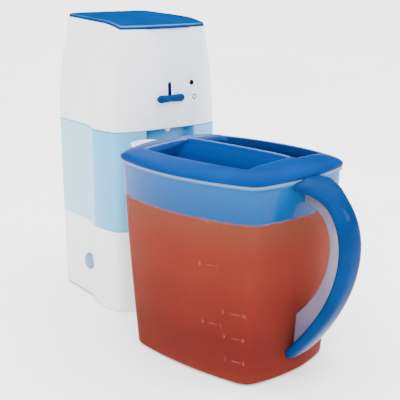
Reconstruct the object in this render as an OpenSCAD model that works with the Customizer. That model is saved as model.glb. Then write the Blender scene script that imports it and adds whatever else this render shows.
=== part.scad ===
// Iced tea maker: a brewing tower with a lift-off brew housing, and its lidded pitcher.
// Millimetres. +Z is up and the front faces -Y. The origin is on the table, under the
// middle of the pair as it stands: the tower behind, the pitcher in front of it.

/* [Tower] */
// Width of the tower between its front corners, at the seam under the brew housing
tower_w = 119; // [113:1:125]
// Depth of the tower from its front corners to its back
tower_d = 122; // [116:1:128]
// How far the front bows forward of its corners
front_bow = 10; // [6:0.5:12]
// How far each side swells beside the front lobes
side_swell = 6.5; // [4:0.5:7]
// Distance from the front corners back to the crest of the swell
swell_crest = 30; // [24:1:36]
// Distance from the front corners back to the end of the swell
swell_end = 59; // [56:1:64]
// Radius of the rear corners
rear_r = 9; // [6:0.5:14]
// Radius of the front corners
front_r = 3; // [2:0.5:5]
// Width of the channel down the front that takes the pitcher's spout
channel_w = 54; // [48:1:57]
// Depth of the channel down the front
channel_depth = 11; // [8:0.5:13]
// Height where the water reservoir meets the base
base_h = 85.4; // [80:0.2:92]
// Height of the seam between the reservoir and the brew housing
seam_z = 186.5; // [180:0.5:194]
// Height of the top of the tower's domed lid
tower_h = 297.5; // [290:0.5:302]
// How far the brew housing's front rim is below the top of the lid
rim_front_fall = 13; // [11:0.5:16]
// How far the brew housing's back rim is below the top of the lid
rim_back_fall = 5.1; // [4.7:0.1:7]
// How much narrower each side is at the rim than at the seam
rim_narrowing = 10.5; // [6:0.5:12]
// How much narrower each side is at the floor than at the seam
floor_narrowing = 1.4; // [0:0.2:3]

/* [Tower shells] */
// Wall of the base and of the brew housing
shell_wall = 2.4; // [2:0.1:3]
// Wall of the water reservoir
reservoir_wall = 2.2; // [1.8:0.1:2.6]
// Height of the deck that the reservoir stands on
deck_z = 79; // [75:0.5:80]
// Height of the floor of the brew housing above its seam
brew_floor_rise = 11; // [11:0.5:14]
// How far the reservoir's tongue stands up inside the brew housing
tongue_h = 8; // [5:0.5:9]
// How far the base's skirt is lifted off the table behind its front lobes
skirt_lift = 2; // [1:0.25:3]
// Thickness of the plate under the base
bottom_t = 2.4; // [2:0.2:3]
// Height of the rubber feet
foot_h = 3; // [2.4:0.2:4]
// Diameter of the rubber feet
foot_d = 13; // [10:0.5:16]

/* [Tower lid] */
// Thickness of the tower lid
lid_t = 2.2; // [1.8:0.1:3]
// Width of the finger tab on the lid's front edge
tab_w = 50; // [40:1:56]
// How far the finger tab stands out
tab_reach = 2.6; // [2:0.2:4]
// Diameter of the lid's hinge pin
pin_d = 2.4; // [2:0.1:3]
// Radius of the hinge knuckles
knuckle_r = 3.4; // [3:0.1:4]
// Length of the lid's hinge knuckle
knuckle_l = 36; // [28:1:44]
// Length of each hinge ear on the brew housing
ear_l = 7; // [5:0.5:10]

/* [Brewing parts] */
// Height of the strength lever's stem when it is down
lever_z = 216.5; // [213:0.5:217]
// Travel of the strength lever
lever_travel = 14; // [10:0.5:15]
// Width of the lever's wing knob
knob_w = 31; // [26:1:38]
// Height of the lever's wing knob
knob_h = 7.6; // [6:0.2:10]
// Thickness of the lever's wing knob at its ends
knob_t = 4.6; // [3.6:0.2:6]
// Diameter of the lever's stem
stem_d = 3.2; // [2.8:0.1:4]
// Half-width of the brew basket
basket_half_w = 42; // [36:1:43]
// Half-depth of the brew basket
basket_half_d = 37; // [32:1:38]
// Wall of the brew basket
basket_wall = 1.8; // [1.4:0.1:2.2]
// Height between the top of the brew basket and the front rim, for the spray arm
spray_room = 19.4; // [18.4:0.2:26]
// Bore of the valve seat in the basket
seat_bore = 5; // [4:0.5:6]
// Outer diameter of the drip nozzle
nozzle_d = 6; // [5:0.2:6.4]
// Bore of the drip nozzle
nozzle_bore = 3.6; // [3:0.2:4]
// Diameter of the spray head
spray_d = 56; // [44:1:64]

/* [Water and heat] */
// Outer diameter of the hot water riser
riser_d = 8; // [7:0.2:9]
// Bore of the hot water riser
riser_bore = 5.4; // [4.6:0.2:6]
// Sideways distance of the riser and of the reservoir outlet from the middle
pipe_x = 22; // [18:1:26]
// Distance of the riser and of the reservoir outlet in front of the tower's back
pipe_back = 19; // [18:1:23]
// Height of the heater's water tube
heater_z = 34; // [30:1:38]
// Outer diameter of the heater's water tube
heater_tube_d = 12; // [11:0.5:14]
// Outer diameter of the silicone hoses
hose_d = 13; // [12:0.5:14]
// Bend radius of the silicone hoses
hose_bend = 14; // [12:1:16]

/* [Brew button and cord entry] */
// Diameter of the brew button on the tower's left side
button_d = 17; // [14:0.5:20]
// Height of the brew button
button_z = 39.5; // [36:0.5:46]
// Travel of the brew button
button_travel = 2.5; // [1.5:0.25:3]
// How far the brew button stands out of the side
button_proud = 3.2; // [3.2:0.2:4]
// Bore of the cord bushing at the back of the base
cord_bore = 7; // [6:0.2:8]
// Height of the cord bushing
cord_z = 22; // [18:1:30]

/* [Pitcher] */
// Height of the pitcher's rim
pitcher_h = 177; // [170:1:179]
// Half-length of the rim between its corners
rim_half_l = 80.25; // [78:0.25:83]
// Half-width of the rim between its corners
rim_half_w = 57.5; // [55:0.5:60]
// How far the long sides bow out at the rim
rim_side_bow = 15.5; // [12:0.5:17]
// How far the ends bow out at the rim
rim_end_bow = 8.2; // [6:0.2:10]
// Half-length of the floor between its corners
floor_half_l = 69; // [66:0.5:74]
// Half-width of the floor between its corners
floor_half_w = 53.5; // [51:0.5:55]
// How far the long sides bow out at the floor
floor_side_bow = 6.9; // [5:0.1:9]
// How far the ends bow out at the floor
floor_end_bow = 9.4; // [7:0.2:10]
// Radius of the upright corners
corner_r = 9; // [6:0.5:12]
// Wall of the pitcher
pitcher_wall = 2.2; // [1.8:0.1:2.6]
// Width of the flange around the rim
flange_w = 1.4; // [1:0.1:2]
// Distance of the spout's tip from the middle of the pitcher
spout_reach = 120; // [112:1:121]
// Half-width of the spout
spout_half_w = 24; // [20:0.5:25]
// How far down the wall the spout starts
spout_drop = 38; // [30:1:44]
// How much higher the spout's tip is than the rim
spout_rise = 2; // [0:0.25:2.5]

/* [Pitcher lid] */
// Height of the lid's edge above the rim
lid_edge_h = 3.4; // [2.6:0.2:4]
// Height of the lid's crown above the rim
lid_crown_h = 12.5; // [11:0.5:14]
// Thickness of the pitcher lid
pitcher_lid_t = 2.2; // [1.8:0.1:2.8]
// Depth of the lid's plug inside the rim
plug_h = 9; // [7:0.5:12]
// Depth of the wells on both sides of the lid's grip bar
well_depth = 15; // [12:0.5:18]
// Sideways place of the crest of the grip bar on the pitcher lid
crest_y = 9; // [6:0.5:11]
// How far the spout end of the lid bows out
lid_spout_bow = 14; // [10:0.5:16]
// Number of strainer slots in the plug behind the spout
strainer_slots = 5; // [3:1:7]

/* [Handle] */
// How far the handle's mid-line reaches from the middle of the pitcher
handle_reach = 131; // [126:0.5:136]
// Height where the handle reaches furthest
handle_mid_z = 122; // [114:1:128]
// Half-width of the handle where it meets the rim
handle_root_half_w = 23; // [18:0.5:25]
// Half-width of the handle's grip
grip_half_w = 12; // [10:0.5:15]
// Half-thickness of the handle's grip
grip_half_t = 5.5; // [4.5:0.25:7]
// Half-width of the handle's foot
foot_half_w = 16; // [12:0.5:18]
// Half-thickness of the handle's inner rib
rib_half_t = 5; // [4:0.25:6]
// How far the inner rib stands in from the grip's mid-line
rib_reach = 17; // [14:0.5:20]

/* [Place of the tower and pitcher] */
// Sideways place of the tower
tower_x = 14.5; // [8:0.5:20]
// Place of the tower behind the origin
tower_y = 131; // [126:0.5:137]
// Sideways place of the pitcher, measured from the tower
pitcher_dx = -17.5; // [-28:0.5:-8]
// Distance of the pitcher in front of the middle of the tower
pitcher_dy = 191; // [191:0.5:204]
// Turn of the pitcher from facing the tower squarely
pitcher_turn = 10.6; // [0:0.1:15]

/* [Hidden] */

// Clearances
seat_gap = 0.2;    // between pieces that are seated on each other and do not move
move_gap = 0.35;   // between pieces that move past or lift off each other
pin_gap = 0.06;    // radial clearance of the hinge pin in the lid's knuckle
eps = 0.01;        // overlap of joined or cutting solids
cut = 1;           // how far a cutting solid runs past a face

// Finish colours
white_plastic = [0.90, 0.90, 0.91];
blue_plastic = [0.00, 0.40, 0.74];
pale_blue = [0.62, 0.79, 0.90, 0.6];
clear_plastic = [0.82, 0.84, 0.86, 0.5];
grey_blue = [0.62, 0.70, 0.78];
rubber_grey = [0.35, 0.36, 0.38];
metal_grey = [0.72, 0.73, 0.75];
dark_plastic = [0.15, 0.15, 0.16];
silicone = [0.86, 0.84, 0.80];

// Heights and places that follow from the driving sizes
rim_front_z = tower_h - rim_front_fall;
rim_back_z = tower_h - rim_back_fall;
pipe_y = tower_d / 2 - pipe_back;

round_fn = 48;     // marks a true circle
small_fn = 24;     // marks a true circle on small pieces

// ---- outlines and lofts ----

function lerp(a, b, t) = a + (b - a) * t;
function smooth(t) = t * t * (3 - 2 * t);
function clamp01(t) = max(0, min(1, t));
function bend2(a, b, c, t) = lerp(lerp(a, b, t), lerp(b, c, t), t);
function bend3(a, b, c, d, t) = lerp(bend2(a, b, c, t), bend2(b, c, d, t), t);
function at_height(outline, z) = [for (p = outline) [p.x, p.y, z]];
function mirrored(half) =
    concat(half, [for (i = [len(half) - 2:-1:1]) [-half[i].x, half[i].y]]);

// A solid through rings of points with the same count, closed flat at both ends, or by a
// fan of faces to a point when the two tips are given. The flat ends start at the point
// of the ring numbered first, from which the whole of the ring must be in sight.
module loft(rings, tips = [], first = 0) {
    n = len(rings[0]);
    last = (len(rings) - 1) * n;
    polyhedron(
        points = concat([for (r = rings) each r], tips),
        faces = concat(
            len(tips) == 0 ? [[for (i = [0:n - 1]) (i + first) % n]]
                : [for (i = [0:n - 1]) [i, (i + 1) % n, last + n]],
            [for (k = [0:len(rings) - 2], i = [0:n - 1])
                [k * n + i, (k + 1) * n + i, (k + 1) * n + (i + 1) % n]],
            [for (k = [0:len(rings) - 2], i = [0:n - 1])
                [k * n + i, (k + 1) * n + (i + 1) % n, k * n + (i + 1) % n]],
            len(tips) == 0 ? [[for (i = [n:-1:1]) last + (i + first) % n]]
                : [for (i = [0:n - 1]) [last + (i + 1) % n, last + i, last + n + 1]]
        ),
        convexity = 6
    );
}

// A tube or rod along +Z, from z0 to z1
module rod(d, z0, z1, bore = 0) {
    translate([0, 0, z0])
        difference() {
            cylinder(h = z1 - z0, d = d, $fn = round_fn);
            if (bore > 0)
                translate([0, 0, -cut])
                    cylinder(h = z1 - z0 + 2 * cut, d = bore, $fn = round_fn);
        }
}

// The outline of a rectangle with rounded corners, as points
function round_rect(half_x, half_y, r, steps = 4) = [
    for (q = [[1, -1, -90], [1, 1, 0], [-1, 1, 90], [-1, -1, 180]], i = [0:steps])
        [q[0] * (half_x - r) + r * cos(q[2] + 90 * i / steps),
         q[1] * (half_y - r) + r * sin(q[2] + 90 * i / steps)]
];

// ---- the tower's form ----

taper_power = 1.8;
front_power = 4;
front_lean = 2;         // how far the front leans back from the seam to the rim
back_lean = 8;          // how far the back leans forward from the seam to the rim
housing_panel = 1.6;    // depth of the shallow panel on the brew housing's front
panel_fade = 75;        // height above the seam where that panel has faded out
top_z = rim_back_z;
swell_fade = 0.95;      // share of the sides' swell that is gone at the rim
floor_bow = 0.3;        // how far the channel's floor bows forward
back_bow = 0.4;         // how far the back bows out

function above_seam(z) = clamp01((z - seam_z) / (top_z - seam_z));
function tower_half_w(z) = tower_w / 2
    - (z < seam_z ? floor_narrowing * (1 - z / seam_z)
                  : rim_narrowing * pow(above_seam(z), taper_power));
function tower_front_y(z) = -tower_d / 2 + front_lean * above_seam(z);
function tower_back_y(z) = tower_d / 2 - back_lean * pow(above_seam(z), taper_power);
function tower_bow(z) = front_bow * (1 - 0.25 * above_seam(z));
function tower_swell(z) = side_swell * (1 - swell_fade * above_seam(z));
function panel_depth(z) = housing_panel * clamp01(1 - (z - seam_z) / panel_fade);

function swell(s) =
    s < swell_crest ? 1 - pow((swell_crest - s) / swell_crest, 2)
    : s < swell_end ? (1 + cos(180 * (s - swell_crest) / (swell_end - swell_crest))) / 2
    : 0;

// Half of the tower's outline, from the middle of the front round the right side to the
// middle of the back. t moves it inward, channel is the depth of the front channel.
channel_blend = 0.2 * channel_depth;    // half-width of the channel's flanks
function tower_half(z, t, channel) = let(
    half_w = tower_half_w(z) - t,
    y_front = tower_front_y(z) + t,
    y_back = tower_back_y(z) - t,
    bow = tower_bow(z),
    flank = channel_w / 2 + t,
    y_channel = y_front - bow + channel,
    r_back = max(rear_r - t, 2),
    front = function (x) y_front - bow * (1 - pow(x / half_w, front_power)),
    side = function (s) half_w + tower_swell(z) * swell(s),
    x_lobe = flank + channel_blend + 2,
    x_corner = half_w - front_r
) concat(
    [[0, y_channel - floor_bow], [flank / 2, y_channel - 0.75 * floor_bow]],
    [for (i = [0:4]) let(x = flank + channel_blend * (i / 2 - 1))
        [x, lerp(y_channel, front(x), smooth(i / 4))]],
    [for (i = [0:4]) let(x = lerp(x_lobe, x_corner, i / 4)) [x, front(x)]],
    [for (i = [1:3]) bend2([x_corner, front(x_corner)], [half_w, y_front],
        [side(front_r), y_front + front_r], i / 4)],
    [for (i = [0:9]) let(s = lerp(front_r, swell_end, i / 9)) [side(s), y_front + s]],
    [for (i = [0:4]) [half_w - r_back + r_back * cos(90 * i / 4),
                      y_back - r_back + r_back * sin(90 * i / 4)]],
    [[0, y_back + back_bow]]
);
function tower_ring(z, t, channel = channel_depth) =
    at_height(mirrored(tower_half(z, t, channel)), z);
function housing_ring(z, t) = tower_ring(z, t, panel_depth(z));
// A solid through the tower's rings, whose flat ends start at the middle of the back
module tower_loft(rings) {
    loft(rings, first = len(rings[0]) / 2);
}

// Height of the brew housing's rim at a distance behind the middle
rim_drop = rim_back_z - rim_front_z;
function rim_z(y) = let(s = clamp01((y - tower_front_y(top_z)) / tower_d))
    rim_front_z + rim_drop * (0.45 * (1 - pow(1 - clamp01(s / 0.28), 2)) + 0.55 * s / 0.93);

module in_tower() {
    translate([tower_x, tower_y, 0]) children();
}

// ---- base ----

skirt_front = 34;       // length of the skirt's front part that reaches the table
foot_x = 42;
foot_y = 40;
bottom_z = foot_h;
inner_t = shell_wall + seat_gap;
screw_x = 46;
screw_y = 20;
screw_post_d = 8;
screw_d = 3;
hose_r = hose_d / 2;
boss_d = riser_d + 5;          // sleeve for the riser, moulded into the reservoir
outlet_d = 9.6;                // outlet spigot under the reservoir
outlet_bore = 7;
outlet_low_z = 66;
cord_x = -30;
cord_flange_d = cord_bore + 9;
cord_neck_d = cord_bore + 4;
cord_flange_end = 3;           // how far the cord bushing stands out of the back
button_y = -2;
button_wall_x = -(tower_half_w(button_z) + tower_swell(button_z)
    * swell(button_y + tower_d / 2));
button_cap_l = 5;              // depth of the button's cap inside the side
button_stem_l = 9;
button_stem_d = 5;
switch_face = button_cap_l + button_stem_l + button_travel + 0.5;
button_guide_l = switch_face - seat_gap - shell_wall;

module base_housing() {
    color(white_plastic) in_tower() difference() {
        union() {
            difference() {
                tower_loft([tower_ring(0, 1), tower_ring(1.2, 0), tower_ring(base_h, 0)]);
                tower_loft([tower_ring(-cut, shell_wall), tower_ring(deck_z - shell_wall, shell_wall)]);
                tower_loft([tower_ring(deck_z, shell_wall), tower_ring(base_h + cut, shell_wall)]);
            }
            for (sx = [-1, 1], sy = [-1, 1])
                translate([sx * screw_x, sy * screw_y, 0])
                    rod(screw_post_d, bottom_z + bottom_t + seat_gap, deck_z - shell_wall / 2);
            translate([button_wall_x + shell_wall / 3, button_y, button_z])
                rotate([0, 90, 0])
                    rod(button_d + 2 * shell_wall + 2 * move_gap, 0, button_guide_l + 2 * shell_wall / 3);
        }
        // lifted skirt behind the front lobes
        translate([-tower_w, -tower_d / 2 + skirt_front, -cut])
            cube([2 * tower_w, tower_d, skirt_lift + cut]);
        // screw holes
        for (sx = [-1, 1], sy = [-1, 1])
            translate([sx * screw_x, sy * screw_y, 0]) rod(screw_d, 0, bottom_z + bottom_t + 12);
        // holes for the reservoir outlet and the riser's sleeve
        for (sx = [-1, 1])
            translate([sx * pipe_x, pipe_y, 0])
                rod((sx < 0 ? outlet_d : boss_d) + 2 * seat_gap, deck_z - 2 * shell_wall, deck_z + cut);
        // brew button bore
        translate([button_wall_x - side_swell, button_y, button_z])
            rotate([0, 90, 0]) rod(button_d + 2 * move_gap, -cut, button_guide_l + 2 * side_swell);
        // cord entry
        translate([cord_x, 0, cord_z])
            rotate([-90, 0, 0])
                rod(cord_neck_d + seat_gap, tower_d / 2 - 3 * shell_wall, tower_d / 2 + cut);
    }
}

module bottom_plate() {
    color(white_plastic) in_tower() difference() {
        translate([0, 0, bottom_z])
            linear_extrude(bottom_t)
                polygon(mirrored(tower_half(bottom_z, inner_t, channel_depth)));
        for (sx = [-1, 1], sy = [-1, 1])
            translate([sx * screw_x, sy * screw_y, 0])
                rod(screw_d + seat_gap, bottom_z - cut, bottom_z + bottom_t + cut);
        for (x = [-20:8:20])
            translate([x - 1.5, -10, bottom_z - cut]) cube([3, 20, bottom_t + 2 * cut]);
    }
}

module rubber_feet() {
    color(rubber_grey) in_tower()
        for (sx = [-1, 1], sy = [-1, 1])
            translate([sx * foot_x, sy * foot_y, 0])
                rotate_extrude($fn = round_fn)
                    polygon([[0, 0], [foot_d / 2 - 1, 0], [foot_d / 2, 1],
                        [foot_d / 2, foot_h], [0, foot_h]]);
}

screw_head_d = 6;
screw_head_h = 1.8;
screw_l = 12;
module base_screws() {
    color(metal_grey) in_tower()
        for (sx = [-1, 1], sy = [-1, 1])
            translate([sx * screw_x, sy * screw_y, 0]) difference() {
                union() {
                    rod(screw_head_d, bottom_z - screw_head_h, bottom_z);
                    rod(screw_d - seat_gap, bottom_z - eps, bottom_z + screw_l);
                }
                for (turn = [0, 90])
                    rotate(turn) translate([-1.6, -0.35, bottom_z - screw_head_h - cut])
                        cube([3.2, 0.7, cut + 0.9]);
            }
}

// ---- heater and water path ----

heater_r = pipe_x;                 // bend radius of the horseshoe
heater_y = -6;                     // centre of the horseshoe's bend
nipple_l = 9;
heater_leg = pipe_y - hose_bend - nipple_l - 2 - heater_y;
heater_bore = 7;
element_d = 8;
element_drop = heater_tube_d / 2 + element_d / 2 - 1;
nipple_d = hose_d - 4;

// Sweeps its 2D child round the heater's horseshoe and along both legs
module horseshoe(leg) {
    translate([0, heater_y, heater_z]) {
        rotate([0, 0, 180]) rotate_extrude(angle = 180, $fn = round_fn)
            translate([heater_r, 0]) children();
        for (sx = [-1, 1])
            translate([sx * heater_r, leg, 0]) rotate([90, 0, 0]) linear_extrude(leg) children();
    }
}

module heater_tube() {
    color(metal_grey) in_tower() difference() {
        union() {
            horseshoe(heater_leg) {
                union() {
                    circle(d = heater_tube_d, $fn = small_fn);
                    translate([-3, -element_drop]) square([6, element_drop]);
                }
            }
            horseshoe(heater_leg + nipple_l) circle(d = nipple_d, $fn = small_fn);
        }
        horseshoe(heater_leg + nipple_l + cut) circle(d = heater_bore, $fn = small_fn);
        horseshoe(heater_leg + cut)
            translate([0, -element_drop]) circle(d = element_d, $fn = small_fn);
    }
}

module heater_element() {
    color(dark_plastic) in_tower()
        horseshoe(heater_leg)
            translate([0, -element_drop]) circle(d = element_d - seat_gap, $fn = small_fn);
}

bracket_w = 10;
bracket_t = 1.2;
module heater_bracket() {
    under = heater_z - element_drop - element_d / 2 - bracket_t;
    color(metal_grey) in_tower()
        for (sx = [-1, 1]) translate([sx * pipe_x - bracket_w / 2, 4, 0]) {
            translate([0, 0, under - seat_gap]) cube([bracket_w, bracket_w, bracket_t]);
            translate([bracket_w / 2, bracket_w / 2, 0])
                rod(5, bottom_z + bottom_t, under - seat_gap + eps);
        }
}

thermostat_d = 16;
thermostat_h = 8;
clip_z = heater_z - 4;             // underside of the clip plate across the horseshoe
clip_back = 2;
module thermostat() {
    clip_half_w = pipe_x - heater_tube_d / 2 - seat_gap;
    color(metal_grey) in_tower() translate([0, heater_y + clip_back, clip_z]) {
        translate([-clip_half_w, 0, 0])
            cube([2 * clip_half_w, thermostat_d, bracket_t]);
        translate([0, thermostat_d / 2, 0]) {
            rod(thermostat_d, bracket_t - eps, thermostat_h);
            for (sx = [-1, 1])
                translate([sx * thermostat_d / 4 - blade_t / 2, -2, thermostat_h - 1])
                    cube([blade_t, 4, thermostat_h]);
        }
    }
}

fuse_d = 4;
fuse_half_l = 9;
module thermal_fuse() {
    color(white_plastic) in_tower()
        translate([0, heater_y + clip_back + fuse_d / 2, clip_z - fuse_d / 2 - seat_gap])
            rotate([0, 90, 0]) rod(fuse_d, -fuse_half_l, fuse_half_l);
}

// Short valve body in the reservoir outlet, with a seat for its ball
ball_d = 4.6;
valve_d = outlet_bore - 2 * pin_gap;
module inlet_valve() {
    color(white_plastic) in_tower() translate([-pipe_x, pipe_y, 0])
        difference() {
            rod(valve_d, outlet_low_z, outlet_low_z + 12);
            rod(ball_d - 1.4, outlet_low_z - cut, outlet_low_z + 12 + cut);
            rod(ball_d + 0.6, outlet_low_z + 3, outlet_low_z + 12 + cut);
        }
}

module inlet_valve_ball() {
    color(metal_grey) in_tower()
        translate([-pipe_x, pipe_y, outlet_low_z + 3 + ball_d / 2 + seat_gap])
            sphere(d = ball_d, $fn = round_fn);
}

hose_top_z = outlet_low_z + 10;
hose_grip = 0.1;               // how much wider a hose is bored than what it is pushed on
// The hose's run: straight over the heater's nipple, round the bend and up
module hose_run(d, past) {
    translate([0, pipe_y, 0]) rod(d, heater_z + hose_bend, hose_top_z + past);
    translate([0, pipe_y - hose_bend, heater_z + hose_bend]) rotate([0, 90, 0])
        rotate_extrude(angle = 90, $fn = round_fn)
            translate([hose_bend, 0]) circle(d = d, $fn = small_fn);
    translate([0, pipe_y - hose_bend, heater_z]) rotate([90, 0, 0])
        rod(d, 0, nipple_l + 1 + past);
}
module hose(side, spigot_d) {
    translate([side * pipe_x, 0, 0]) difference() {
        hose_run(hose_d, 0);
        hose_run(nipple_d + hose_grip, cut);
        translate([0, pipe_y, 0]) rod(spigot_d + hose_grip, heater_z + hose_bend, hose_top_z + cut);
    }
}

module inlet_hose() {
    color(silicone) in_tower() hose(-1, outlet_d);
}

module outlet_hose() {
    color(silicone) in_tower() hose(1, riser_d);
}

clamp_w = 4;                   // width of the clamps' band
clamp_t = 1;
clamp_ear = 4.5;               // how far a clamp's ear stands out of its band
module hose_clamps() {
    color(metal_grey) in_tower()
        for (sx = [-1, 1])
            translate([sx * pipe_x, pipe_y, hose_top_z - 2 - clamp_w]) {
                rod(hose_d + 2 * clamp_t, 0, clamp_w, hose_d + hose_grip);
                translate([-clamp_w / 2, hose_r + clamp_t / 2, 0])
                    cube([clamp_w, clamp_t / 2 + clamp_ear, clamp_w]);
            }
}

brew_floor_z = seam_z + brew_floor_rise;
brew_deck_z = brew_floor_z + shell_wall;      // top of the brew housing's floor
riser_top_z = brew_deck_z + 3;
module riser_tube() {
    color(silicone) in_tower() translate([pipe_x, pipe_y, 0])
        rod(riser_d, heater_z + hose_bend + 2, riser_top_z, riser_bore);
}

switch_w = 20;
switch_h = 24;
switch_depth = 12;
blade_l = 7;
blade_w = 6;
blade_t = 0.8;
module in_button() {
    translate([button_wall_x, button_y, button_z]) rotate([0, 90, 0]) children();
}

module power_switch() {
    color(dark_plastic) in_tower() in_button() {
        translate([-switch_w / 2, -switch_h / 2, switch_face])
            cube([switch_w, switch_h, switch_depth]);
        // two blades for the wires, on top
        for (y = [-switch_h / 4, switch_h / 4])
            translate([-switch_w / 2 - blade_l, y - blade_t / 2,
                switch_face + (switch_depth - blade_w) / 2])
                cube([blade_l + eps, blade_t, blade_w]);
    }
}

module brew_button() {
    color(grey_blue) in_tower() in_button() difference() {
        union() {
            rotate_extrude($fn = round_fn)
                polygon([[0, -button_proud - 0.6], [button_d / 2 - 3, -button_proud - 0.3],
                    [button_d / 2 - 0.8, -button_proud + 0.3], [button_d / 2, -button_proud + 1.1],
                    [button_d / 2, button_cap_l], [0, button_cap_l]]);
            rod(button_stem_d, button_cap_l - eps, button_cap_l + button_stem_l);
        }
        rod(button_d - 3, button_cap_l - 3, button_cap_l + cut, button_stem_d);
    }
}

spring_r = 4.4;
spring_wire_d = 0.8;
spring_turns = 5;
spring_steps = 12;
spring_l = switch_face - button_cap_l - 2 * move_gap - spring_wire_d;
module button_spring() {
    color(metal_grey) in_tower() in_button()
        translate([0, 0, button_cap_l + move_gap + spring_wire_d / 2])
            loft([for (i = [0:spring_turns * spring_steps]) let(
                a = 360 * i / spring_steps,
                h = spring_l * i / (spring_turns * spring_steps)
            ) [for (k = [0:5]) let(r = spring_r + spring_wire_d / 2 * cos(60 * k))
                [r * cos(a), r * sin(a), h - spring_wire_d / 2 * sin(60 * k)]]]);
}

module cord_bushing() {
    color(dark_plastic) in_tower() translate([cord_x, tower_d / 2, cord_z]) rotate([-90, 0, 0])
        difference() {
            union() {
                rod(cord_neck_d, -shell_wall - 3, cord_flange_end - 1);
                rod(cord_flange_d, back_bow + seat_gap, cord_flange_end);
                rod(cord_neck_d + 2, -shell_wall - 3, -shell_wall - seat_gap);
            }
            rod(cord_bore, -shell_wall - 3 - cut, cord_flange_end + cut);
        }
}

// ---- water reservoir ----

foot_t = shell_wall + seat_gap;                  // inset of the reservoir's foot in the base
tongue_t = shell_wall + move_gap;                // inset of its tongue in the brew housing
reservoir_z = deck_z + seat_gap;
reservoir_top = seam_z - move_gap;
ledge_h = 0.4;                                   // height of the ledges' slopes
sleeve_bore = riser_d + 2 * seat_gap;
module reservoir() {
    color(pale_blue) in_tower() difference() {
        union() {
            difference() {
                tower_loft([
                    tower_ring(reservoir_z, foot_t),
                    tower_ring(base_h + seat_gap, foot_t),
                    tower_ring(base_h + seat_gap + ledge_h, 0),
                    tower_ring((base_h + seam_z) / 2, 0),
                    tower_ring(reservoir_top - ledge_h, 0),
                    tower_ring(reservoir_top, tongue_t),
                    tower_ring(seam_z + tongue_h, tongue_t)
                ]);
                tower_loft([
                    tower_ring(reservoir_z + reservoir_wall, foot_t + reservoir_wall),
                    tower_ring(base_h + 3, foot_t + reservoir_wall),
                    tower_ring(base_h + 6, reservoir_wall),
                    tower_ring((base_h + seam_z) / 2, reservoir_wall),
                    tower_ring(seam_z - 6, reservoir_wall),
                    tower_ring(seam_z - 2, tongue_t + reservoir_wall),
                    tower_ring(seam_z + tongue_h + cut, tongue_t + reservoir_wall)
                ]);
            }
            translate([pipe_x, pipe_y, 0])
                rod(boss_d, deck_z - shell_wall, seam_z + 2);
            translate([-pipe_x, pipe_y, 0])
                rod(outlet_d, outlet_low_z, reservoir_z + reservoir_wall / 2);
        }
        translate([pipe_x, pipe_y, 0]) rod(sleeve_bore, deck_z - shell_wall - cut, seam_z + 2 + cut);
        translate([-pipe_x, pipe_y, 0])
            rod(outlet_bore, outlet_low_z - cut, reservoir_z + reservoir_wall + cut);
    }
}

module reservoir_gasket() {
    color(rubber_grey) in_tower() translate([pipe_x, pipe_y, seam_z + 2 + seat_gap])
        rod(boss_d, 0, 2.4, riser_d + hose_grip);
}

// ---- brew housing ----

nozzle_y = tower_front_y(seam_z) - 2.4;
nozzle_low_z = seam_z - 3.5;
basket_y = -10;
seat_z = lever_z - 6.5;
slot_w = stem_d + 2 * move_gap;
hinge_y = tower_back_y(rim_back_z) + back_bow + knuckle_r + 1;
hinge_z = rim_back_z - 3.4;
ear_x = knuckle_l / 2 + move_gap;
ear_root_y = hinge_y - knuckle_r - 3;          // where the ears meet the housing's back
ear_web = 12;                                  // how far their webs run down it
trough_half_w = 9;
trough_wall = 1.6;
trough_h = 4;
trough_l = 13;
rim_margin = 10;         // how far the housing's loft runs on above its rim
housing_steps = 9;
housing_levels = concat([seam_z, seam_z + 2],
    [for (i = [1:housing_steps]) lerp(seam_z, rim_back_z, 1 - pow(1 - i / housing_steps, 1.35))],
    [rim_back_z + rim_margin]);
inner_levels = concat([brew_deck_z], [for (z = housing_levels) if (z > brew_deck_z + 5) z],
    [rim_back_z + rim_margin + cut]);

// What lies above the rim, which falls towards the front
module above_rim(lift = 0) {
    steps = 16;
    translate([-tower_w, 0, 0]) rotate([90, 0, 90]) linear_extrude(2 * tower_w)
        polygon(concat(
            [for (i = [0:steps]) let(y = lerp(tower_front_y(top_z), tower_d / 2, i / steps))
                [y, rim_z(y) + lift]],
            [[tower_d, rim_back_z + lift], [tower_d, 2 * tower_h],
             [-tower_d, 2 * tower_h], [-tower_d, rim_front_z + lift]]));
}

module hinge_ears() {
    for (sx = [-1, 1]) translate([sx > 0 ? ear_x : -ear_x - ear_l, 0, 0])
        rotate([90, 0, 90]) linear_extrude(ear_l) union() {
            polygon([[ear_root_y, hinge_z - ear_web], [ear_root_y + 2, hinge_z - ear_web],
                [hinge_y + knuckle_r, hinge_z], [ear_root_y, hinge_z + 1]]);
            translate([hinge_y, hinge_z]) circle(r = knuckle_r, $fn = small_fn);
        }
}

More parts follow.
